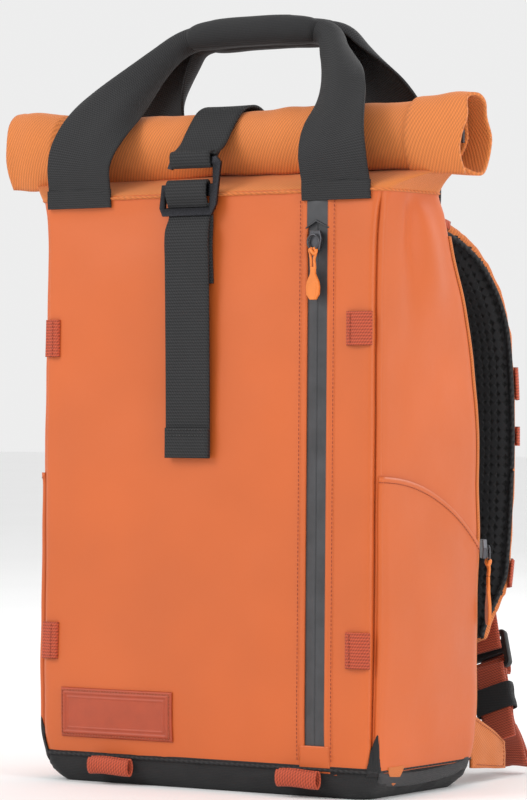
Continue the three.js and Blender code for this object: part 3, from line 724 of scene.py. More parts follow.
# ---------------------------------------------------------------- body panels
def make_front():
    left_edge, right_edge = ZIP_X - ZIP_HALF + 1.2, ZIP_X + ZIP_HALF - 1.2

    def seam(z):
        return outline(FRONT, 1, z, 0).x

    def main(s, t):
        z = lerp(BASE_TOP - 3, SEAM_Z + 2, t)
        x = lerp(-seam(z), left_edge, s)
        fold = 0.8 * smooth(x, left_edge - 3.5, left_edge - 1) * smooth(z, 24, 44)
        return (body(FRONT, 0, z) if s == 0 else front(x, z)) + Vector((0, -fold, 0))

    def narrow(s, t):
        z = lerp(BASE_TOP - 3, SEAM_Z + 2, t)
        x = lerp(right_edge, seam(z), s)
        fold = 0.8 * (1 - smooth(x, right_edge + 1, right_edge + 3.5)) * smooth(z, 24, 44)
        return (body(FRONT, 1, z) if s == 1 else front(x, z)) + Vector((0, -fold, 0))

    surface("front_cloth", main, 96, 150, TARP, "pack", ["front_panel"], 1.6)
    surface("front_cloth_edge", narrow, 24, 150, TARP, "pack", ["front_panel_edge"], 1.6)

    def patch(s, t):
        return front(lerp(left_edge - 4, right_edge + 4, s), lerp(BASE_TOP - 2, ZIP_BOTTOM + 3, t), 0.5)

    surface("zip_end_patch", patch, 14, 16, TARP, "pack", ["front_zip_end_patch"], 1.4)

    def tape(s, t):
        x = lerp(left_edge - 3, right_edge + 3, s)
        lips = 0.7 * math.exp(-(((x - ZIP_X) / 3.2) ** 2))
        slit = 0.9 * math.exp(-(((x - ZIP_X) / 0.45) ** 2))
        dip = 0.9 - lips + slit
        return front(x, lerp(ZIP_BOTTOM - 6, SEAM_Z - 2, t), -dip)

    surface("front_zip_lips", tape, 60, 120, TAPE, "pack", ["front_zip_tape"], 0.9)
    for tag, x in (("left", left_edge - 5.5), ("right", right_edge + 5.5)):
        def row(t, x=x):
            return on_front(x, lerp(SEAM_Z - 6, 26, t), 0.95)

        stitches("zip_stitch_" + tag, row, 400, RED_THREAD, "pack", 3.0, 0.7, 0.3)

    def garage(s, t):
        x = lerp(left_edge - 1, right_edge + 1, s)
        drop = 5 * (1 - abs(2 * s - 1))
        z = lerp(ZIP_TOP + 2 + drop, SEAM_Z + 1, t)
        crown = 1.5 * math.sin(math.pi * s) * math.sin(math.pi * min(0.15 + t, 1)) ** 0.5
        return front(x, z, 0.5 + crown)

    surface("zip_garage", garage, 24, 18, TAPE, "pack", ["front_zip_garage"], 1.2)
    rim = [front(lerp(left_edge - 1, right_edge + 1, k / 12), ZIP_TOP + 2 + 5 * (1 - abs(2 * k / 12 - 1)),
                 0.7 + 1.4 * math.sin(math.pi * k / 12)) for k in range(13)]
    tube("zip_garage_rim", rim, 0.5, TAPE, "pack", 8, 24)


def make_side(side, sign, tag):
    def shell(s, t):
        return body(side, s, lerp(BASE_TOP - 3, SEAM_Z + 2, t))

    surface("side_cloth_" + tag, shell, 60, 130, TARP, "pack", ["side_panel_" + tag], 1.6)

    def pocket_top(s):
        f = s if side == RIGHT else 1 - s
        return POCKET_TOP - POCKET_FALL * max(f, 0) ** 2.2

    def pocket(s, t):
        along = lerp(0.02, 0.955, s) if side == RIGHT else lerp(0.045, 0.98, s)
        z = lerp(BASE_TOP - 1, pocket_top(s), t)
        bulge = 3.6 * math.sin(math.pi * s) ** 0.8 * math.sin(math.pi * min(t * 1.12, 1)) ** 0.7
        edge = min(s, 1 - s)
        lip = 0.7 * smooth(t, 0.965, 0.99)
        return body(side, along, z, 1.7 * smooth(edge, 0.0, 0.02) + bulge + lip)

    surface("side_pocket_cloth_" + tag, pocket, 60, 70, TARP, "pack", ["side_pocket_" + tag], 1.4)

    def hem(t, drop=4.0):
        along = lerp(0.02, 0.955, t) if side == RIGHT else lerp(0.045, 0.98, t)
        bulge = 3.6 * math.sin(math.pi * t) ** 0.8 * math.sin(math.pi * 0.97) ** 0.7
        p = body(side, along, pocket_top(t) - drop, 2.3 + bulge * 0.4)
        return p, (outline(side, along, p.z, 1) - outline(side, along, p.z, 0)).normalized()

    stitches("pocket_stitch_" + tag, hem, 150, RED_THREAD, "pack", 3.0, 0.7, 0.28)

    # Woven piping down the rear edge, beside the back compartment's zip.
    s0, s1 = (0.94, 0.985) if side == RIGHT else (0.06, 0.015)

    def piping(s, t):
        z = lerp(BASE_TOP, 400, t)
        swell = 2.2 * math.sin(math.pi * s) ** 0.6
        return body(side, lerp(s0, s1, s), z, 0.3 + swell)

    surface("rear_piping_" + tag, piping, 10, 120, TWILL_UV, "pack", thick=0.8,
            flip=side == LEFT)

    # Coil zip round the lower corner, with a woven gusset above it.
    f0, f1 = (0.06, 0.9) if side == RIGHT else (0.94, 0.1)

    def coil(s, t):
        along = lerp(f0, f1, t)
        low = 7 + 6 * (1 - math.sin(math.pi * min(t * 1.05, 1)) ** 0.5)
        return outline(side, along, lerp(low, low + 10, s), 1.5 + 1.2 * math.sin(math.pi * s))

    surface("corner_zip_coil_" + tag, coil, 8, 90, COIL, "pack", ["corner_zip_" + tag], 0.8,
            flip=side == RIGHT)
    # Black cloth over the foot of the corner seam, coming to a point at its top.
    def corner(s, t):
        lean = abs(2 * s - 1)
        w = lerp(-0.045, 0.13, s)
        z = lerp(BASE_TOP - 3, 47 - 24 * lean**1.4, t)
        if side == LEFT:
            w = -w
        if w * sign < 0:
            face, share = (FRONT, 1 + w) if side == RIGHT else (FRONT, w)
        else:
            face, share = (RIGHT, w) if side == RIGHT else (LEFT, 1 + w)
        return body(face, share, z, 1.5 + 0.5 * math.sin(math.pi * s))

    surface("corner_patch_" + tag, corner, 24, 16, BLACK_CLOTH, "pack", thick=0.9,
            flip=side == LEFT)
    g0, g1 = (0.16, 0.3) if side == RIGHT else (0.84, 0.7)

    def gusset(s, t):
        drop = 12 * (1 - abs(2 * s - 1) ** 1.5)
        z = lerp(BASE_TOP + 3, BASE_TOP + 1 - drop, t)
        return body(side, lerp(g0, g1, s), z, 2.4)

    surface("corner_gusset_" + tag, gusset, 16, 10, TWILL_UV, "pack", thick=0.8,
            flip=side == RIGHT)


def make_back():
    def shell(s, t):
        return body(BACK, s, lerp(BASE_TOP - 3, SEAM_Z + 2, t))

    surface("back_cloth", shell, 60, 110, BLACK_CLOTH, "pack", ["back_panel"], 1.6)

    def yoke(s, t):
        return body(BACK, lerp(0.03, 0.97, s), lerp(388, SEAM_Z + 1, t), 0.9)

    surface("back_yoke", yoke, 50, 20, TWILL_UV, "pack", thick=0.8)


def make_laptop_zip():
    def path(t):
        u = 2 * t - 1
        reach = abs(u)
        sign = 1 if u >= 0 else -1
        turn = min(reach / ARCH_SHARE, 1) * math.pi / 2
        w = 2.5 - sign * 0.5 * math.sin(turn)
        if reach < ARCH_SHARE:
            z = ARCH_SPRING + ARCH_RISE * math.cos(turn)
        else:
            z = ARCH_SPRING - (ARCH_SPRING - ARCH_FOOT) * (reach - ARCH_SHARE) / (1 - ARCH_SHARE)
        side = min(int(w), 3)
        return side, w - side, z

    def normal(side, s, z):
        a = outline(side, min(s + 0.004, 1), z, 0) - outline(side, max(s - 0.004, 0), z, 0)
        b = outline(side, s, z + 1, 0) - outline(side, s, z - 1, 0)
        return a.cross(b).normalized()

    def point(t, off=0.0):
        side, s, z = path(t)
        return outline(side, s, z, 0) + normal(side, s, z) * off

    def tape(s, t):
        ahead = (point(min(t + 0.008, 1)) - point(max(t - 0.008, 0))).normalized()
        side, q, z = path(t)
        lift = normal(side, q, z)
        wide = ahead.cross(lift).normalized()
        x = 2 * s - 1
        ridge = 1.0 * math.exp(-((x / 0.35) ** 2)) - 0.9 * math.exp(-((x / 0.06) ** 2))
        drop = 1.4 * abs(x) ** 3
        return point(t) + wide * 7.5 * x + lift * (3.0 + ridge - drop)

    surface("laptop_zip_lips", tape, 24, 160, TAPE, "pack", ["laptop_zip_tape"], 0.8)


def make_base():
    """Woven base: a tray whose rim sags in soft folds, with its underside flat."""
    def shell(s, t):
        w = (s * 4) % 4
        side = int(w) % 4
        frac = w - int(w)
        if t < 0.5:
            rim = outline(side, frac, 0, 0)
            centre = Vector((0, -6, 0))
            return centre.lerp(rim, t / 0.5)
        z = lerp(0, BASE_TOP + 3, (t - 0.5) / 0.5)
        p = outline(side, frac, z, 0)
        live = math.sin(math.pi * min(z / 23, 1)) ** 0.7
        sag = (1.2 + 1.3 * wobble(p.x, p.y, z * 2, 22) + 0.8 * wobble(p.x, p.y, z * 3, 8)) * live
        return outline(side, frac, z, sag)

    surface("base_cloth", shell, 320, 40, BLACK_CLOTH, "pack", ["base_panel"], 1.4, wrap=True)

    def welt(t):
        w = t * 4 % 4
        return outline(int(w), w - int(w), BASE_TOP + 0.5, 0.9)

    tube("base_welt", [welt(k / 96) for k in range(96)], 1.3, BLACK_TWILL, "pack", 8, 384, closed=True)


# ---------------------------------------------------------------- roll top
ROLL_Y, ROLL_Z, ROLL_DEPTH, ROLL_HEIGHT, ROLL_LENGTH = -29, 468, 23, 27.5, 198
ROLL_TURNS, ROLL_PITCH = 2.6, 0.24


def make_roll():
    def at(s, t):
        turn = s * ROLL_TURNS
        angle = -math.pi / 2 + 0.6 + 2 * math.pi * turn
        scale = 1 - ROLL_PITCH * turn
        outer = smooth(1 - turn, 0, 0.3)
        end = 2 * t - 1
        x = end * (ROLL_LENGTH + 3 - 13 * smooth(turn, 0.7, 1.2) - 10 * smooth(turn, 1.4, 2.2))
        reach = abs(x) / ROLL_LENGTH
        x += 5 * reach**8 * wobble(math.cos(angle) * 30, math.sin(angle) * 30, end * 50, 26)
        mouth = smooth(reach, 0.72, 1.0)
        cuff = 2.8 * smooth(reach, 0.785, 0.79) * outer
        crease = 4.2 * wobble(x * 0.3, math.cos(angle) * 17, math.sin(angle) * 17, 17) * outer * mouth
        slack = 1.7 * wobble(x * 0.45, math.cos(angle) * 20, math.sin(angle) * 20, 38) * outer
        drawn = 1.3 * wobble(x * 1.4, math.cos(angle) * 9, math.sin(angle) * 9, 30) * outer
        pinch = -2.2 * math.exp(-(((x + 10) / 30) ** 2)) * outer
        corner = 4.5 * mouth * outer * max(math.cos(angle - 2.5), 0) ** 3 if x < 0 else 0.0
        drop = 5.0 * mouth * outer * max(math.cos(angle + 1.9), 0) ** 4
        grow = cuff + crease + slack + drawn + pinch + corner + drop
        flat = 1 - 0.14 * mouth
        ry = (ROLL_DEPTH * scale + grow * 0.7) * flat
        rz = (ROLL_HEIGHT * scale + grow - 1.0) * (1 + 0.07 * mouth)
        lean = 1.4 * math.sin(x / 55)
        return Vector((x, ROLL_Y - ry * math.cos(angle), ROLL_Z + rz * math.sin(angle) + lean))

    surface("roll_cloth", at, 150, 200, TWILL, "pack", ["roll_top"], 2.2, flip=False)

    def line(sign, off):
        def place(t):
            angle = -math.pi / 2 + 0.7 + 2.6 * t
            scale = 1 - ROLL_PITCH * (angle - (-math.pi / 2 + 0.6)) / (2 * math.pi)
            x = sign * (ROLL_LENGTH * 0.8 + off)
            ry, rz = ROLL_DEPTH * scale + 2.2, ROLL_HEIGHT * scale + 1.8
            p = Vector((x, ROLL_Y - ry * math.cos(angle), ROLL_Z + rz * math.sin(angle)))
            return p, Vector((0, -math.cos(angle), math.sin(angle)))
        return place

    for tag, sign in (("right", 1), ("left", -1)):
        stitches("roll_cuff_stitch_" + tag, line(sign, 3.5), 66, THREAD, "pack", 3.2, 0.7, 0.3)


def make_collar():
    def at(s, t):
        w = (s * 4) % 4
        side = int(w) % 4
        low = outline(side, w - int(w), SEAM_Z, 0.6)
        ya, yb = front_y(SEAM_Z), back_y(SEAM_Z)
        flat = lerp(-5, 5, (low.y - ya) / (yb - ya))
        wide = max(min(low.x / half_width(SEAM_Z), 1), -1) * 186
        high = Vector((wide, ROLL_Y + flat, 447))
        ease = t**1.9
        p = low.lerp(high, ease)
        p.z = lerp(SEAM_Z - 1, 447.5, t) - 1.5 * math.sin(math.pi * t)
        belly = math.sin(math.pi * t)
        gather = math.sin(low.x / 9 + 2 * wobble(low.x, 0, 0, 30))
        pleat = 1.6 * gather * smooth(abs(low.x), 60, 140) * belly
        out = Vector((0, -1 if low.y < ROLL_Y else 1, 0))
        return p + out * (pleat + 1.4 * belly + 0.7 * wobble(low.x, low.y, t * 20, 16))

    surface("collar_cloth", at, 360, 20, TWILL, "pack", ["collar"], 1.2, wrap=True)

    def seam(t):
        w = t * 4 % 4
        return outline(int(w), w - int(w), SEAM_Z + 0.2, 0.7)

    tube("collar_seam", [seam(k / 96) for k in range(96)], 0.9, TWILL_UV, "pack", 8, 384, closed=True)


# ---------------------------------------------------------------- closing strap and hook
STRAP_X = -10


def down_middle(points, x=STRAP_X):
    return [(x, y, z) for y, z in points]


def make_closure():
    over = [(21, 428), (15, 446), (1, 470), (-8, 488), (-17, 495.5), (-29, 497.2), (-42, 492.5), (-54, 480),
            (-63, 468.5), (-71, 462.5), (-76.8, 460)]
    strip("closing_strap_web", down_middle(over), 20, BLACK_WEB, "pack", nodes=["closing_strap"],
          thick=1.7, along=90, across=10,
          lift=lambda s, t: 0.35 * math.sin(s * 3.1) * math.sin(t * 9))
    loop = [(-74.5, 462.2), (-79.8, 460.6), (-80.6, 455.5), (-78.6, 450.4), (-74.6, 452.6), (-71.0, 458.5),
            (-66.5, 463.6)]
    strip("closing_strap_loop", down_middle(loop), 17.5, BLACK_WEB, "pack", thick=1.5,
          along=44, across=8)
    anchor = [(front(-10, 366).y - 1.6, 366), (-79.6, 392), (-78.6, 408), (-78.8, 417), (-80.8, 424)]
    piece = strip("closing_strap_anchor_web", down_middle(anchor), 19, BLACK_WEB, None,
                  nodes=["closing_strap_anchor"], thick=1.6, along=30, across=8)
    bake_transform(apply_modifiers(piece))
    tail = [(-79.9, 423.5), (-80.0, 417), (-81.4, 411.5), (-84.0, 405), (-84.9, 395), (-84.3, 380),
            (-83.6, 330), (-83.2, 280), (-83.2, 240)]
    web = strip("closing_tail_web", down_middle(tail), lambda t: 18 + smooth(t, 0.05, 0.12), BLACK_WEB, None,
                nodes=["closing_strap_tail"], thick=1.6, along=110, across=12,
                lift=lambda s, t: 0.5 * math.sin(t * 5) * math.sin(s * math.pi))
    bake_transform(apply_modifiers(web))
    hem = [(-84.5, 262), (-84.6, 250), (-84.7, 240)]
    strip("closing_tail_hem", down_middle(hem), 19, BLACK_WEB, "tail", thick=1.5,
          along=14, across=10)
    for k, z in enumerate((260.5, 256.5)):
        def row(t, z=z):
            return Vector((STRAP_X + lerp(-17.5, 17.5, t), -85.5, z)), Vector((0, -1, 0))

        stitches("tail_hem_stitch_%d" % k, row, 35, BLACK_THREAD, "tail", 2.6, 0.7, 0.3)
    # The webbing comes up behind the hook's middle bar, over it, and down behind the lower one.
    wrap = [(-77.4, 431), (-77.6, 437), (-79.6, 440.6), (-82.6, 439.2), (-83.6, 434.5), (-83.3, 429),
            (-81.6, 425), (-80.0, 421)]
    strip("hook_slot_web", down_middle(wrap, STRAP_X - 1.5), 17.6, BLACK_WEB, "hook",
          thick=1.4, along=30, across=10)


# ---------------------------------------------------------------- carry handles
HANDLE_X, HANDLE_Z, HANDLE_WIDTH = 113, 434, 56
GRIP_Z, GRIP_HALF = 553, 58


def handle_points(sign, foot_y, top_y, lean):
    half = [(HANDLE_X, foot_y, HANDLE_Z), (HANDLE_X - 3, foot_y + sign * 1.5, 464),
            (HANDLE_X - 15, foot_y + lean * 0.3, 502), (HANDLE_X - 36, foot_y + lean * 0.75, 534),
            (GRIP_HALF + 3, top_y, 549), (GRIP_HALF * 0.5, top_y, GRIP_Z)]
    other = [(-x, y, z) for x, y, z in half]
    return other + [(0, top_y, GRIP_Z + 0.5)] + half[::-1]


def make_handle(tag, sign, foot_y, top_y, lean, riding):
    curve = spline(handle_points(sign, foot_y, top_y, lean))
    start = next(k / 400 for k in range(400) if curve(k / 400).x > -GRIP_HALF)

    def at(s, t):
        place = curve(t)
        ahead = direction(curve, t)
        deep = (Vector((0, 1, 0)) - ahead * ahead.y).normalized()
        wide = ahead.cross(deep).normalized()
        near = min(t, 1 - t)
        curl = smooth(near, start * 0.12, start * 1.05)
        radius = 1 / (curl**1.35 / 8.4 + 1e-4)
        reach = (s - 0.5) * lerp(HANDLE_WIDTH, 46, curl)
        angle = reach / radius
        inward = radius * (1 - math.cos(angle)) - 4.5 * curl
        p = place + wide * radius * math.sin(angle) + deep * inward * -sign
        ripple = 1.3 * math.sin(s * 10 + t * 14) * curl * (1 - curl) * 4
        foot = 1 - smooth(near, 0, 0.03)
        return p + deep * (ripple + 0.5 * foot * -sign)

    surface("%s_handle_web" % tag, at, 30, 170, BLACK_TWILL, riding, ["%s_handle_strap" % tag],
            1.8, 0.0)

    def sleeve(s, t):
        k = lerp(start + 0.002, 1 - start - 0.002, t)
        place, ahead = curve(k), direction(curve, k)
        deep = (Vector((0, 1, 0)) - ahead * ahead.y).normalized()
        wide = ahead.cross(deep).normalized()
        angle = 2 * math.pi * s
        swell = 1 - 0.3 * abs(2 * t - 1) ** 7
        return place + (wide * math.cos(angle) + deep * math.sin(angle)) * 11.6 * swell

    rings, sides = 26, 22
    mesh = bpy.data.meshes.new("grip")
    verts = [sleeve(i / sides, j / rings) * MM for j in range(rings + 1) for i in range(sides)]
    faces = []
    for low in range(0, rings * sides, sides):
        for i in range(sides):
            j = (i + 1) % sides
            faces.append((low + i, low + j, low + sides + j, low + sides + i))
    faces += [tuple(reversed(range(sides))), tuple(rings * sides + i for i in range(sides))]
    mesh.from_pydata(verts, [], faces)
    grip = link("%s_grip_pad" % tag, mesh, BLACK_CLOTH, None, ["%s_handle_grip" % tag])
    inflate(grip, 1.6, 5.0, 3.0)
    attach(grip, riding)

    # Folded foot of the webbing, sewn into the seam below the collar.
    for side_tag, side in (("right", 1), ("left", -1)):
        x0 = HANDLE_X * side
        foot = [(x0, foot_y - 0.4 * sign, 423.5), (x0, foot_y, 430), (x0, foot_y, 437)]
        strip("%s_handle_foot_%s" % (tag, side_tag), foot, 28.5, BLACK_TWILL, "pack",
              thick=2.0, along=16, across=24, lift=lambda s, t: 0.5 * math.sin(s * 8))


# ---------------------------------------------------------------- shoulder straps
STRAP_PATH = [(58, 37, 397), (64, 62, 410), (74, 89, 411), (84, 113, 395), (90, 131, 371), (94, 144, 340),
              (95, 150, 300), (95, 152, 250), (95, 149, 200), (96, 142, 160), (98, 131, 128), (101, 117, 100)]
LOCK = Vector((109, 141, 82))
WING = Vector((131, 123, 28))


def strap_half(t):
    return lerp(27, 35, smooth(t, 0.02, 0.35)) - 13 * smooth(t, 0.86, 1)


def make_strap(tag, sign):
    riding = "strap_" + tag
    curve = spline(mirror_points(STRAP_PATH, sign))
    near = Vector((1, 0, 0))

    def layer(depth, shrink, crown):
        def at(s, t):
            place, wide, deep = frame_at(curve, t, near)
            x = 2 * s - 1
            edge = 1 - abs(x) ** 5
            return place + wide * (strap_half(t) - shrink) * x + deep * (depth + crown * edge)
        return at

    pad = closed_solid("strap_pad_" + tag, layer(-2.2, 1.2, -2.0), layer(6.0, 1.2, 4.2), 14, 70, TWILL_UV,
                       ["shoulder_strap_" + tag, "shoulder_mesh_" + tag])
    inflate(pad, 1.6, 4.0, 4.0)
    pad.data.materials.append(MESH)
    # The lining side takes the mesh, with its pattern laid along the strap.
    samples = [(k / 240, *frame_at(curve, k / 240, near)) for k in range(241)]
    layer_uv = pad.data.uv_layers.new(name="UVMap")
    length = sum((samples[k + 1][1] - samples[k][1]).length for k in range(240))
    for polygon in pad.data.polygons:
        centre = polygon.center / MM
        best = min(range(0, 241, 4), key=lambda k: (samples[k][1] - centre).length_squared)
        t, place, wide, deep = samples[best]
        x = (centre - place).dot(wide)
        inside = polygon.normal.dot(deep) > 0.25 and abs(x) < strap_half(t) - 3.2
        polygon.material_index = 1 if inside else 0
        for corner in polygon.loop_indices:
            v = pad.data.vertices[pad.data.loops[corner].vertex_index].co / MM
            ahead = deep.cross(wide) * -1
            run = t * length + (v - place).dot(ahead)
            layer_uv.data[corner].uv = ((v - place).dot(wide) * MM, run * MM)
    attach(pad, riding)

    def edge_line(side, depth, inset):
        points = []
        for k in range(61):
            place, wide, deep = frame_at(curve, k / 60, near)
            points.append(place + wide * (strap_half(k / 60) - inset) * side + deep * depth)
        return points

    for edge_tag, side in (("outer", 1), ("inner", -1)):
        tube("strap_binding_%s_%s" % (tag, edge_tag), edge_line(side, 7.4, 1.8), 1.9, BLACK_TWILL, riding, 8,
             180)
    # Sewn loops over the outer face.
    spots = [("top", 0.145, 0.032, 0.6), ("high", 0.5, 0.03, 1.6), ("middle", 0.598, 0.018, 1.4),
             ("low", 0.86, 0.026, 1.4)]
    for name, at, half, rise in spots:
        def band(s, t, at=at, half=half, rise=rise):
            place, wide, deep = frame_at(curve, lerp(at - half, at + half, t), near)
            x = lerp(-1, 1, s)
            reach = strap_half(at) + 0.2
            round_off = smooth(abs(x), 0.9, 1.0)
            drop = -5.0 - rise * (1 - x * x) + 8 * round_off
            return place + wide * reach * x * (1 - 0.01 * round_off) + deep * drop

        nodes = ["strap_loop_" + tag] if name == "high" else []
        surface("strap_loop_%s_%s" % (name, tag), band, 26, 10, RED, riding, nodes, 1.4, 0.0)
    end = mirror_points([(97, 143.5, 142), (98.6, 146, 134), (100, 146.6, 120), (103.5, 145.4, 104),
                         (105.6, 144, 96), (107, 142.4, 92)], sign)
    strip("strap_end_web_" + tag, end, 12.5, DARK_RED, riding, nodes=["strap_end_" + tag],
          along=40, across=8)


def make_strap_end(tag, sign):
    riding = "strap_" + tag
    down = (WING - LOCK).normalized()
    wide = (Vector((1, 0, 0)) - down * down.x).normalized()
    out = wide.cross(down).normalized()
    if out.y < 0:
        out.negate()

    def line(t, depth):
        p = LOCK.lerp(WING, t) + out * depth
        return (p.x * sign, p.y, p.z)

    route = [line(0.0, 1.5), line(0.12, 0.2), line(0.5, 0), line(0.86, 0), line(1.0, -0.5)]
    lower = strip("lower_web_" + tag, route, 12.5, DARK_RED, None, nodes=["lower_webbing_" + tag],
                  along=46, across=8)
    start = Vector(line(0.99, 0)) * MM
    end = Vector(line(0.66, 0)) * MM
    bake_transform(apply_modifiers(lower))
    tail = [line(-0.08, 5.4), line(0.1, 3.9), line(0.45, 3.8), line(0.72, 3.9), (121.5 * sign, 149, 25),
            (121.5 * sign, 156, 10), (120.5 * sign, 161.5, 6.4), (118 * sign, 163.5, 14),
            (116 * sign, 158.5, 27), (115 * sign, 152.5, 36)]
    web = strip("webbing_tail_web_" + tag, tail, 12.5, DARK_RED, riding, nodes=["webbing_tail_" + tag],
                along=110, across=8)
    ring = [line(-0.3, 6.5), line(-0.2, 11.5), line(-0.06, 13.5), line(0.06, 10.5), line(0.0, 5.8)]
    strip("lock_loop_web_" + tag, ring, 12.0, DARK_RED, riding, thick=1.4, along=30,
          across=6)

    # Elastic keeper: a flat sleeve round both layers.
    centre = LOCK.lerp(WING, 0.46) + out * 2.1

    def sleeve(s, t):
        angle = 2 * math.pi * s
        reach = 16 + 0.35 * math.sin(t * 9)
        c, q = math.cos(angle), math.sin(angle)
        u = math.copysign(abs(c) ** 0.35, c) * reach
        v = math.copysign(abs(q) ** 0.5, q) * 5.0
        p = centre + wide * u + out * v + down * lerp(-10, 10, t)
        return Vector((p.x * sign, p.y, p.z))

    surface("keeper_sleeve_" + tag, sleeve, 48, 16, BLACK_CLOTH, "keeper_" + tag, ["keeper_" + tag],
            1.2, -1.0, wrap=True, flip=sign > 0)

    def keeper_line(t):
        p = centre + wide * -2.5 + out * 5.2 + down * lerp(-9, 9, t)
        n = Vector((out.x * sign, out.y, out.z))
        return Vector((p.x * sign, p.y, p.z)), n

    stitches("keeper_stitch_" + tag, keeper_line, 18, BLACK_THREAD, "keeper_" + tag, 2.6, 0.7, 0.3)

    # Stitched wing from the body's lower corner to the webbing.
    def wing_at(s, t):
        a = Vector((137.5, 66, lerp(12, 52, t)))
        b = Vector((131.5, 124.5, lerp(7, 27, t)))
        p = a.lerp(b, s) + Vector((1.4 * math.sin(math.pi * s) + 0.8 * wobble(s * 40, t * 30, 3, 14), 0, 0))
        return Vector((p.x * sign, p.y, p.z))

    surface("wing_cloth_" + tag, wing_at, 36, 24, TWILL_UV, "pack", ["anchor_wing_" + tag], 2.4,
            1.0 if sign > 0 else -1.0)
    runs = [(0.1, 0.93, 0.93, 0.93), (0.93, 0.93, 0.93, 0.07), (0.93, 0.07, 0.1, 0.07)]
    for k, (s0, t0, s1, t1) in enumerate(runs):
        def seam(t, s0=s0, t0=t0, s1=s1, t1=t1):
            outward = Vector((sign, 0, 0))
            return wing_at(lerp(s0, s1, t), lerp(t0, t1, t)) + outward * 2.6, outward

        stitches("wing_stitch_%d_%s" % (k, tag), seam, 50 if k != 1 else 18, THREAD, "pack", 3, 0.7, 0.32)


# ---------------------------------------------------------------- trims on the front
def make_loops():
    spots = [("gear_loop_upper_right", 122, 143.5, 320.5, 344.5),
             ("gear_loop_upper_left", -143.5, -130, 314, 341.5),
             ("gear_loop_lower_right", 123, 143.5, 93, 118.5),
             ("gear_loop_lower_left", -143.5, -129, 90.5, 117.5)]
    for name, x0, x1, z0, z1 in spots:
        def band(s, t, x0=x0, x1=x1, z0=z0, z1=z1):
            x = lerp(x0, x1, s)
            inner = abs(x - (x0 if x0 > 0 else x1)) / abs(x1 - x0)
            lift = 2.2 + 1.0 * math.sin(math.pi * min(inner * 1.3, 1)) - 1.6 * (1 - smooth(inner, 0, 0.08))
            return front(x, lerp(z0, z1, t), lift)

        surface(name + "_web", band, 22, 18, RED, "pack", [name], 1.9)
        edge = x0 + 5 if x0 > 0 else x1 - 5

        def row(t, edge=edge, z0=z0, z1=z1):
            return on_front(edge, lerp(z0 + 1, z1 - 1, t), 3.3)

        stitches(name + "_stitch", row, z1 - z0 - 2, RED_THREAD, "pack", 2.6, 0.7, 0.3)
    for name, x0, x1 in (("gear_loop_base_left", -97, -61), ("gear_loop_base_right", 69, 103)):
        def fold(s, t, x0=x0, x1=x1):
            angle = lerp(0.3, 2 * math.pi - 0.5, s) + math.pi / 2
            rest = Vector((lerp(x0, x1, t), -84.2 - 3.5 * math.cos(angle), 14 + 6 * math.sin(angle)))
            return rest + Vector((0, 0, 0.5 * math.sin(t * 5)))
        surface(name + "_web", fold, 26, 30, RED, "pack", [name], 1.5, 0.0)


def make_patch():
    x0, x1, z0, z1 = PATCH_BOX

    def at(s, t):
        x, z = lerp(x0, x1, s), lerp(z0, z1, t)
        edge = min(x - x0, x1 - x, z - z0, z1 - z)
        rim = smooth(edge, 0, 0.9) * 1.4
        bead = 0.75 * (smooth(edge, 2.6, 3.3) - smooth(edge, 4.3, 5.0))
        bead += 0.5 * (smooth(edge, 6.2, 6.8) - smooth(edge, 7.2, 7.8))
        return front(x, z, 0.7 + rim + bead)

    surface("label_patch_blank", at, 200, 74, PATCH, "pack", ["label_patch"], 1.2)
    corners = [(x0 + 2, z0 + 2), (x1 - 2, z0 + 2), (x1 - 2, z1 - 2), (x0 + 2, z1 - 2)]
    for k, a in enumerate(corners):
        b = corners[(k + 1) % 4]

        def row(t, a=a, b=b):
            return on_front(lerp(a[0], b[0], t), lerp(a[1], b[1], t), 2.4)

        stitches("patch_stitch_%d" % k, row, math.dist(a, b), THREAD, "pack", 2.6, 0.7, 0.3)


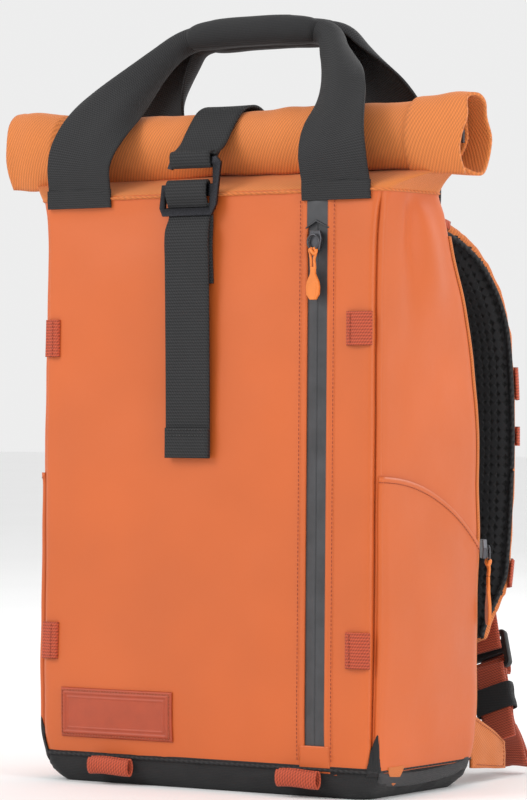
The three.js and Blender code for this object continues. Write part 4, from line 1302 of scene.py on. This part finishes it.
# ---------------------------------------------------------------- zip pulls
def make_pull(prefix, riding, node, axis_out, length):
    """Bail ring, doubled cord with its knot, and a moulded tab, in place of the plain pull."""
    low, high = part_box(node)
    centre = (low + high) / 2 / MM
    n = Vector(axis_out)
    side = n.cross(Vector((0, 0, 1))).normalized()
    z0 = high.z / MM - 0.6

    def spot(a, z, out=0.0):
        return Vector((centre.x, centre.y, z)) + side * a + n * out

    ring = []
    for k in range(16):
        angle = k * math.pi / 8
        ring.append(spot(4.6 * math.cos(angle), z0 - 4.5 + 5.2 * math.sin(angle)))
    tube(prefix + "_bail", ring, 0.8, METAL, riding, 10, 64, closed=True, nodes=[node])
    for k, a in enumerate((-1.5, 1.5)):
        run = [spot(a * 0.5, z0 - 8.5, 0.4), spot(a * 1.5, z0 - 12), spot(a * 0.9, z0 - 17, 0.5),
               spot(a, z0 - 22), spot(a * 0.75, z0 - length * 0.52 - 2)]
        tube("%s_cord_%d" % (prefix, k), run, 1.05, RUBBER, riding, 10, 36)
    knot = []
    for k in range(12):
        angle = k * math.pi / 6
        height = z0 - 11.5 + 1.6 * math.sin(k * math.pi / 3)
        knot.append(spot(2.6 * math.cos(angle), height, 1.5 * math.sin(angle)))
    tube(prefix + "_knot", knot, 1.2, RUBBER, riding, 10, 60, closed=True)
    top_z, low_z = z0 - length * 0.48, z0 - length + 0.5
    tall = top_z - low_z
    half = [(1.7, 0), (2.2, -tall * 0.22), (4.9, -tall * 0.45), (5.6, -tall * 0.62), (5.2, -tall * 0.84),
            (2.6, -tall)]
    outline_pts = [(-1.7, 0)] + half + [(-a, b) for a, b in half[:0:-1]]
    axes = (spot(0, top_z), side, Vector((0, 0, 1)), n)
    plate_prism(prefix + "_tab", outline_pts, 2.6, axes, RUBBER, riding, 0.7)
    inset = [(a * 0.62, b * 0.98 - 0.3) for a, b in outline_pts if b < -tall * 0.4]
    axes = (spot(0, top_z, 1.1), side, Vector((0, 0, 1)), n)
    plate_prism(prefix + "_tab_panel", inset, 0.9, axes, RUBBER, riding, 0.3)


def dress_hard_parts():
    """Materials and edge rounding for the CAD nodes that stay."""
    for name, material, bevel in (("front_zip_slider", METAL, 0.5), ("laptop_zip_slider", METAL, 0.5),
                                  ("closing_hook", HOOK, 0.35), ("ladder_lock_right", PLASTIC, 0.5),
                                  ("ladder_lock_left", PLASTIC, 0.5), ("base_stiffener", BOARD, 0.5),
                                  ("laptop_divider", BOARD, 0.4), ("back_frame_sheet", BOARD, 0.3),
                                  ("roll_stiffener", BOARD, 0.4)):
        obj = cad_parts[name]
        obj.data.materials.clear()
        obj.data.materials.append(material)
        edge = obj.modifiers.new("edge", "BEVEL")
        edge.width = bevel * MM
        edge.segments = 3
        edge.limit_method = "ANGLE"
        edge.angle_limit = math.radians(35)


def make_back_pads():
    for name, z0, z1 in (("upper", 224, 338), ("lower", 48, 202)):
        def layer(off, name=name, z0=z0, z1=z1):
            def at(s, t):
                x, y = 2 * s - 1, 2 * t - 1
                crown = (1 - abs(x) ** 6) * (1 - abs(y) ** 6)
                side = lerp(0.17, 0.83, s)
                return outline(BACK, side, lerp(z0, z1, t), 1.2 + off * (0.45 + 0.55 * crown))
            return at

        pad = closed_solid("back_pad_%s_foam" % name, layer(6.2), layer(0.0), 24, 20, MESH,
                           ["back_pad_" + name])
        inflate(pad, 1.4, 4.0, 4.0)
        uv = pad.data.uv_layers.new(name="UVMap")
        for loop in pad.data.loops:
            co = pad.data.vertices[loop.vertex_index].co
            uv.data[loop.index].uv = (co.x, co.z)
        # Sewn channels across the pad.
        for v in pad.data.vertices:
            if v.normal.y > 0.3:
                near = abs(v.co.x / MM)
                v.co.y -= 2.6 * MM * math.exp(-(((near - 38) / 4) ** 2))
        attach(pad, "pack")


def make_floor():
    mesh = bpy.data.meshes.new("floor")
    size = 14.0
    corners = [(-size, -size, 0), (size, -size, 0), (size, size, 0), (-size, size, 0)]
    mesh.from_pydata(corners, [], [(0, 1, 2, 3)])
    n = Nodes("floor")
    fine = n.noise(n.coords("Object"), 3, 2)
    tint = n.ramp(fine, (0.9, 0.9, 0.9), (0.94, 0.94, 0.94))
    n.finish(tint, n.span(fine, 0.8, 0.9), n.bump(fine, 0.02, 0.001))
    mesh.materials.append(n.material)
    floor = bpy.data.objects.new("floor", mesh)
    bpy.context.scene.collection.objects.link(floor)


make_floor()
make_front()
make_side(RIGHT, 1, "right")
make_side(LEFT, -1, "left")
make_back()
make_laptop_zip()
make_base()
make_collar()
make_roll()
make_closure()
make_handle("front", -1, -76.5, -14.2, 62, "front_handle")
make_handle("back", 1, 18.5, 13, -5, "back_handle")
for tag, sign in (("right", 1), ("left", -1)):
    make_strap(tag, sign)
    make_strap_end(tag, sign)
make_loops()
make_patch()
make_back_pads()
make_pull("front_pull", "front_pull", "front_zip_pull", (0, -1, 0), 46)
make_pull("laptop_pull", "laptop_pull", "laptop_zip_pull", (0.7071, 0.7071, 0), 58)
dress_hard_parts()
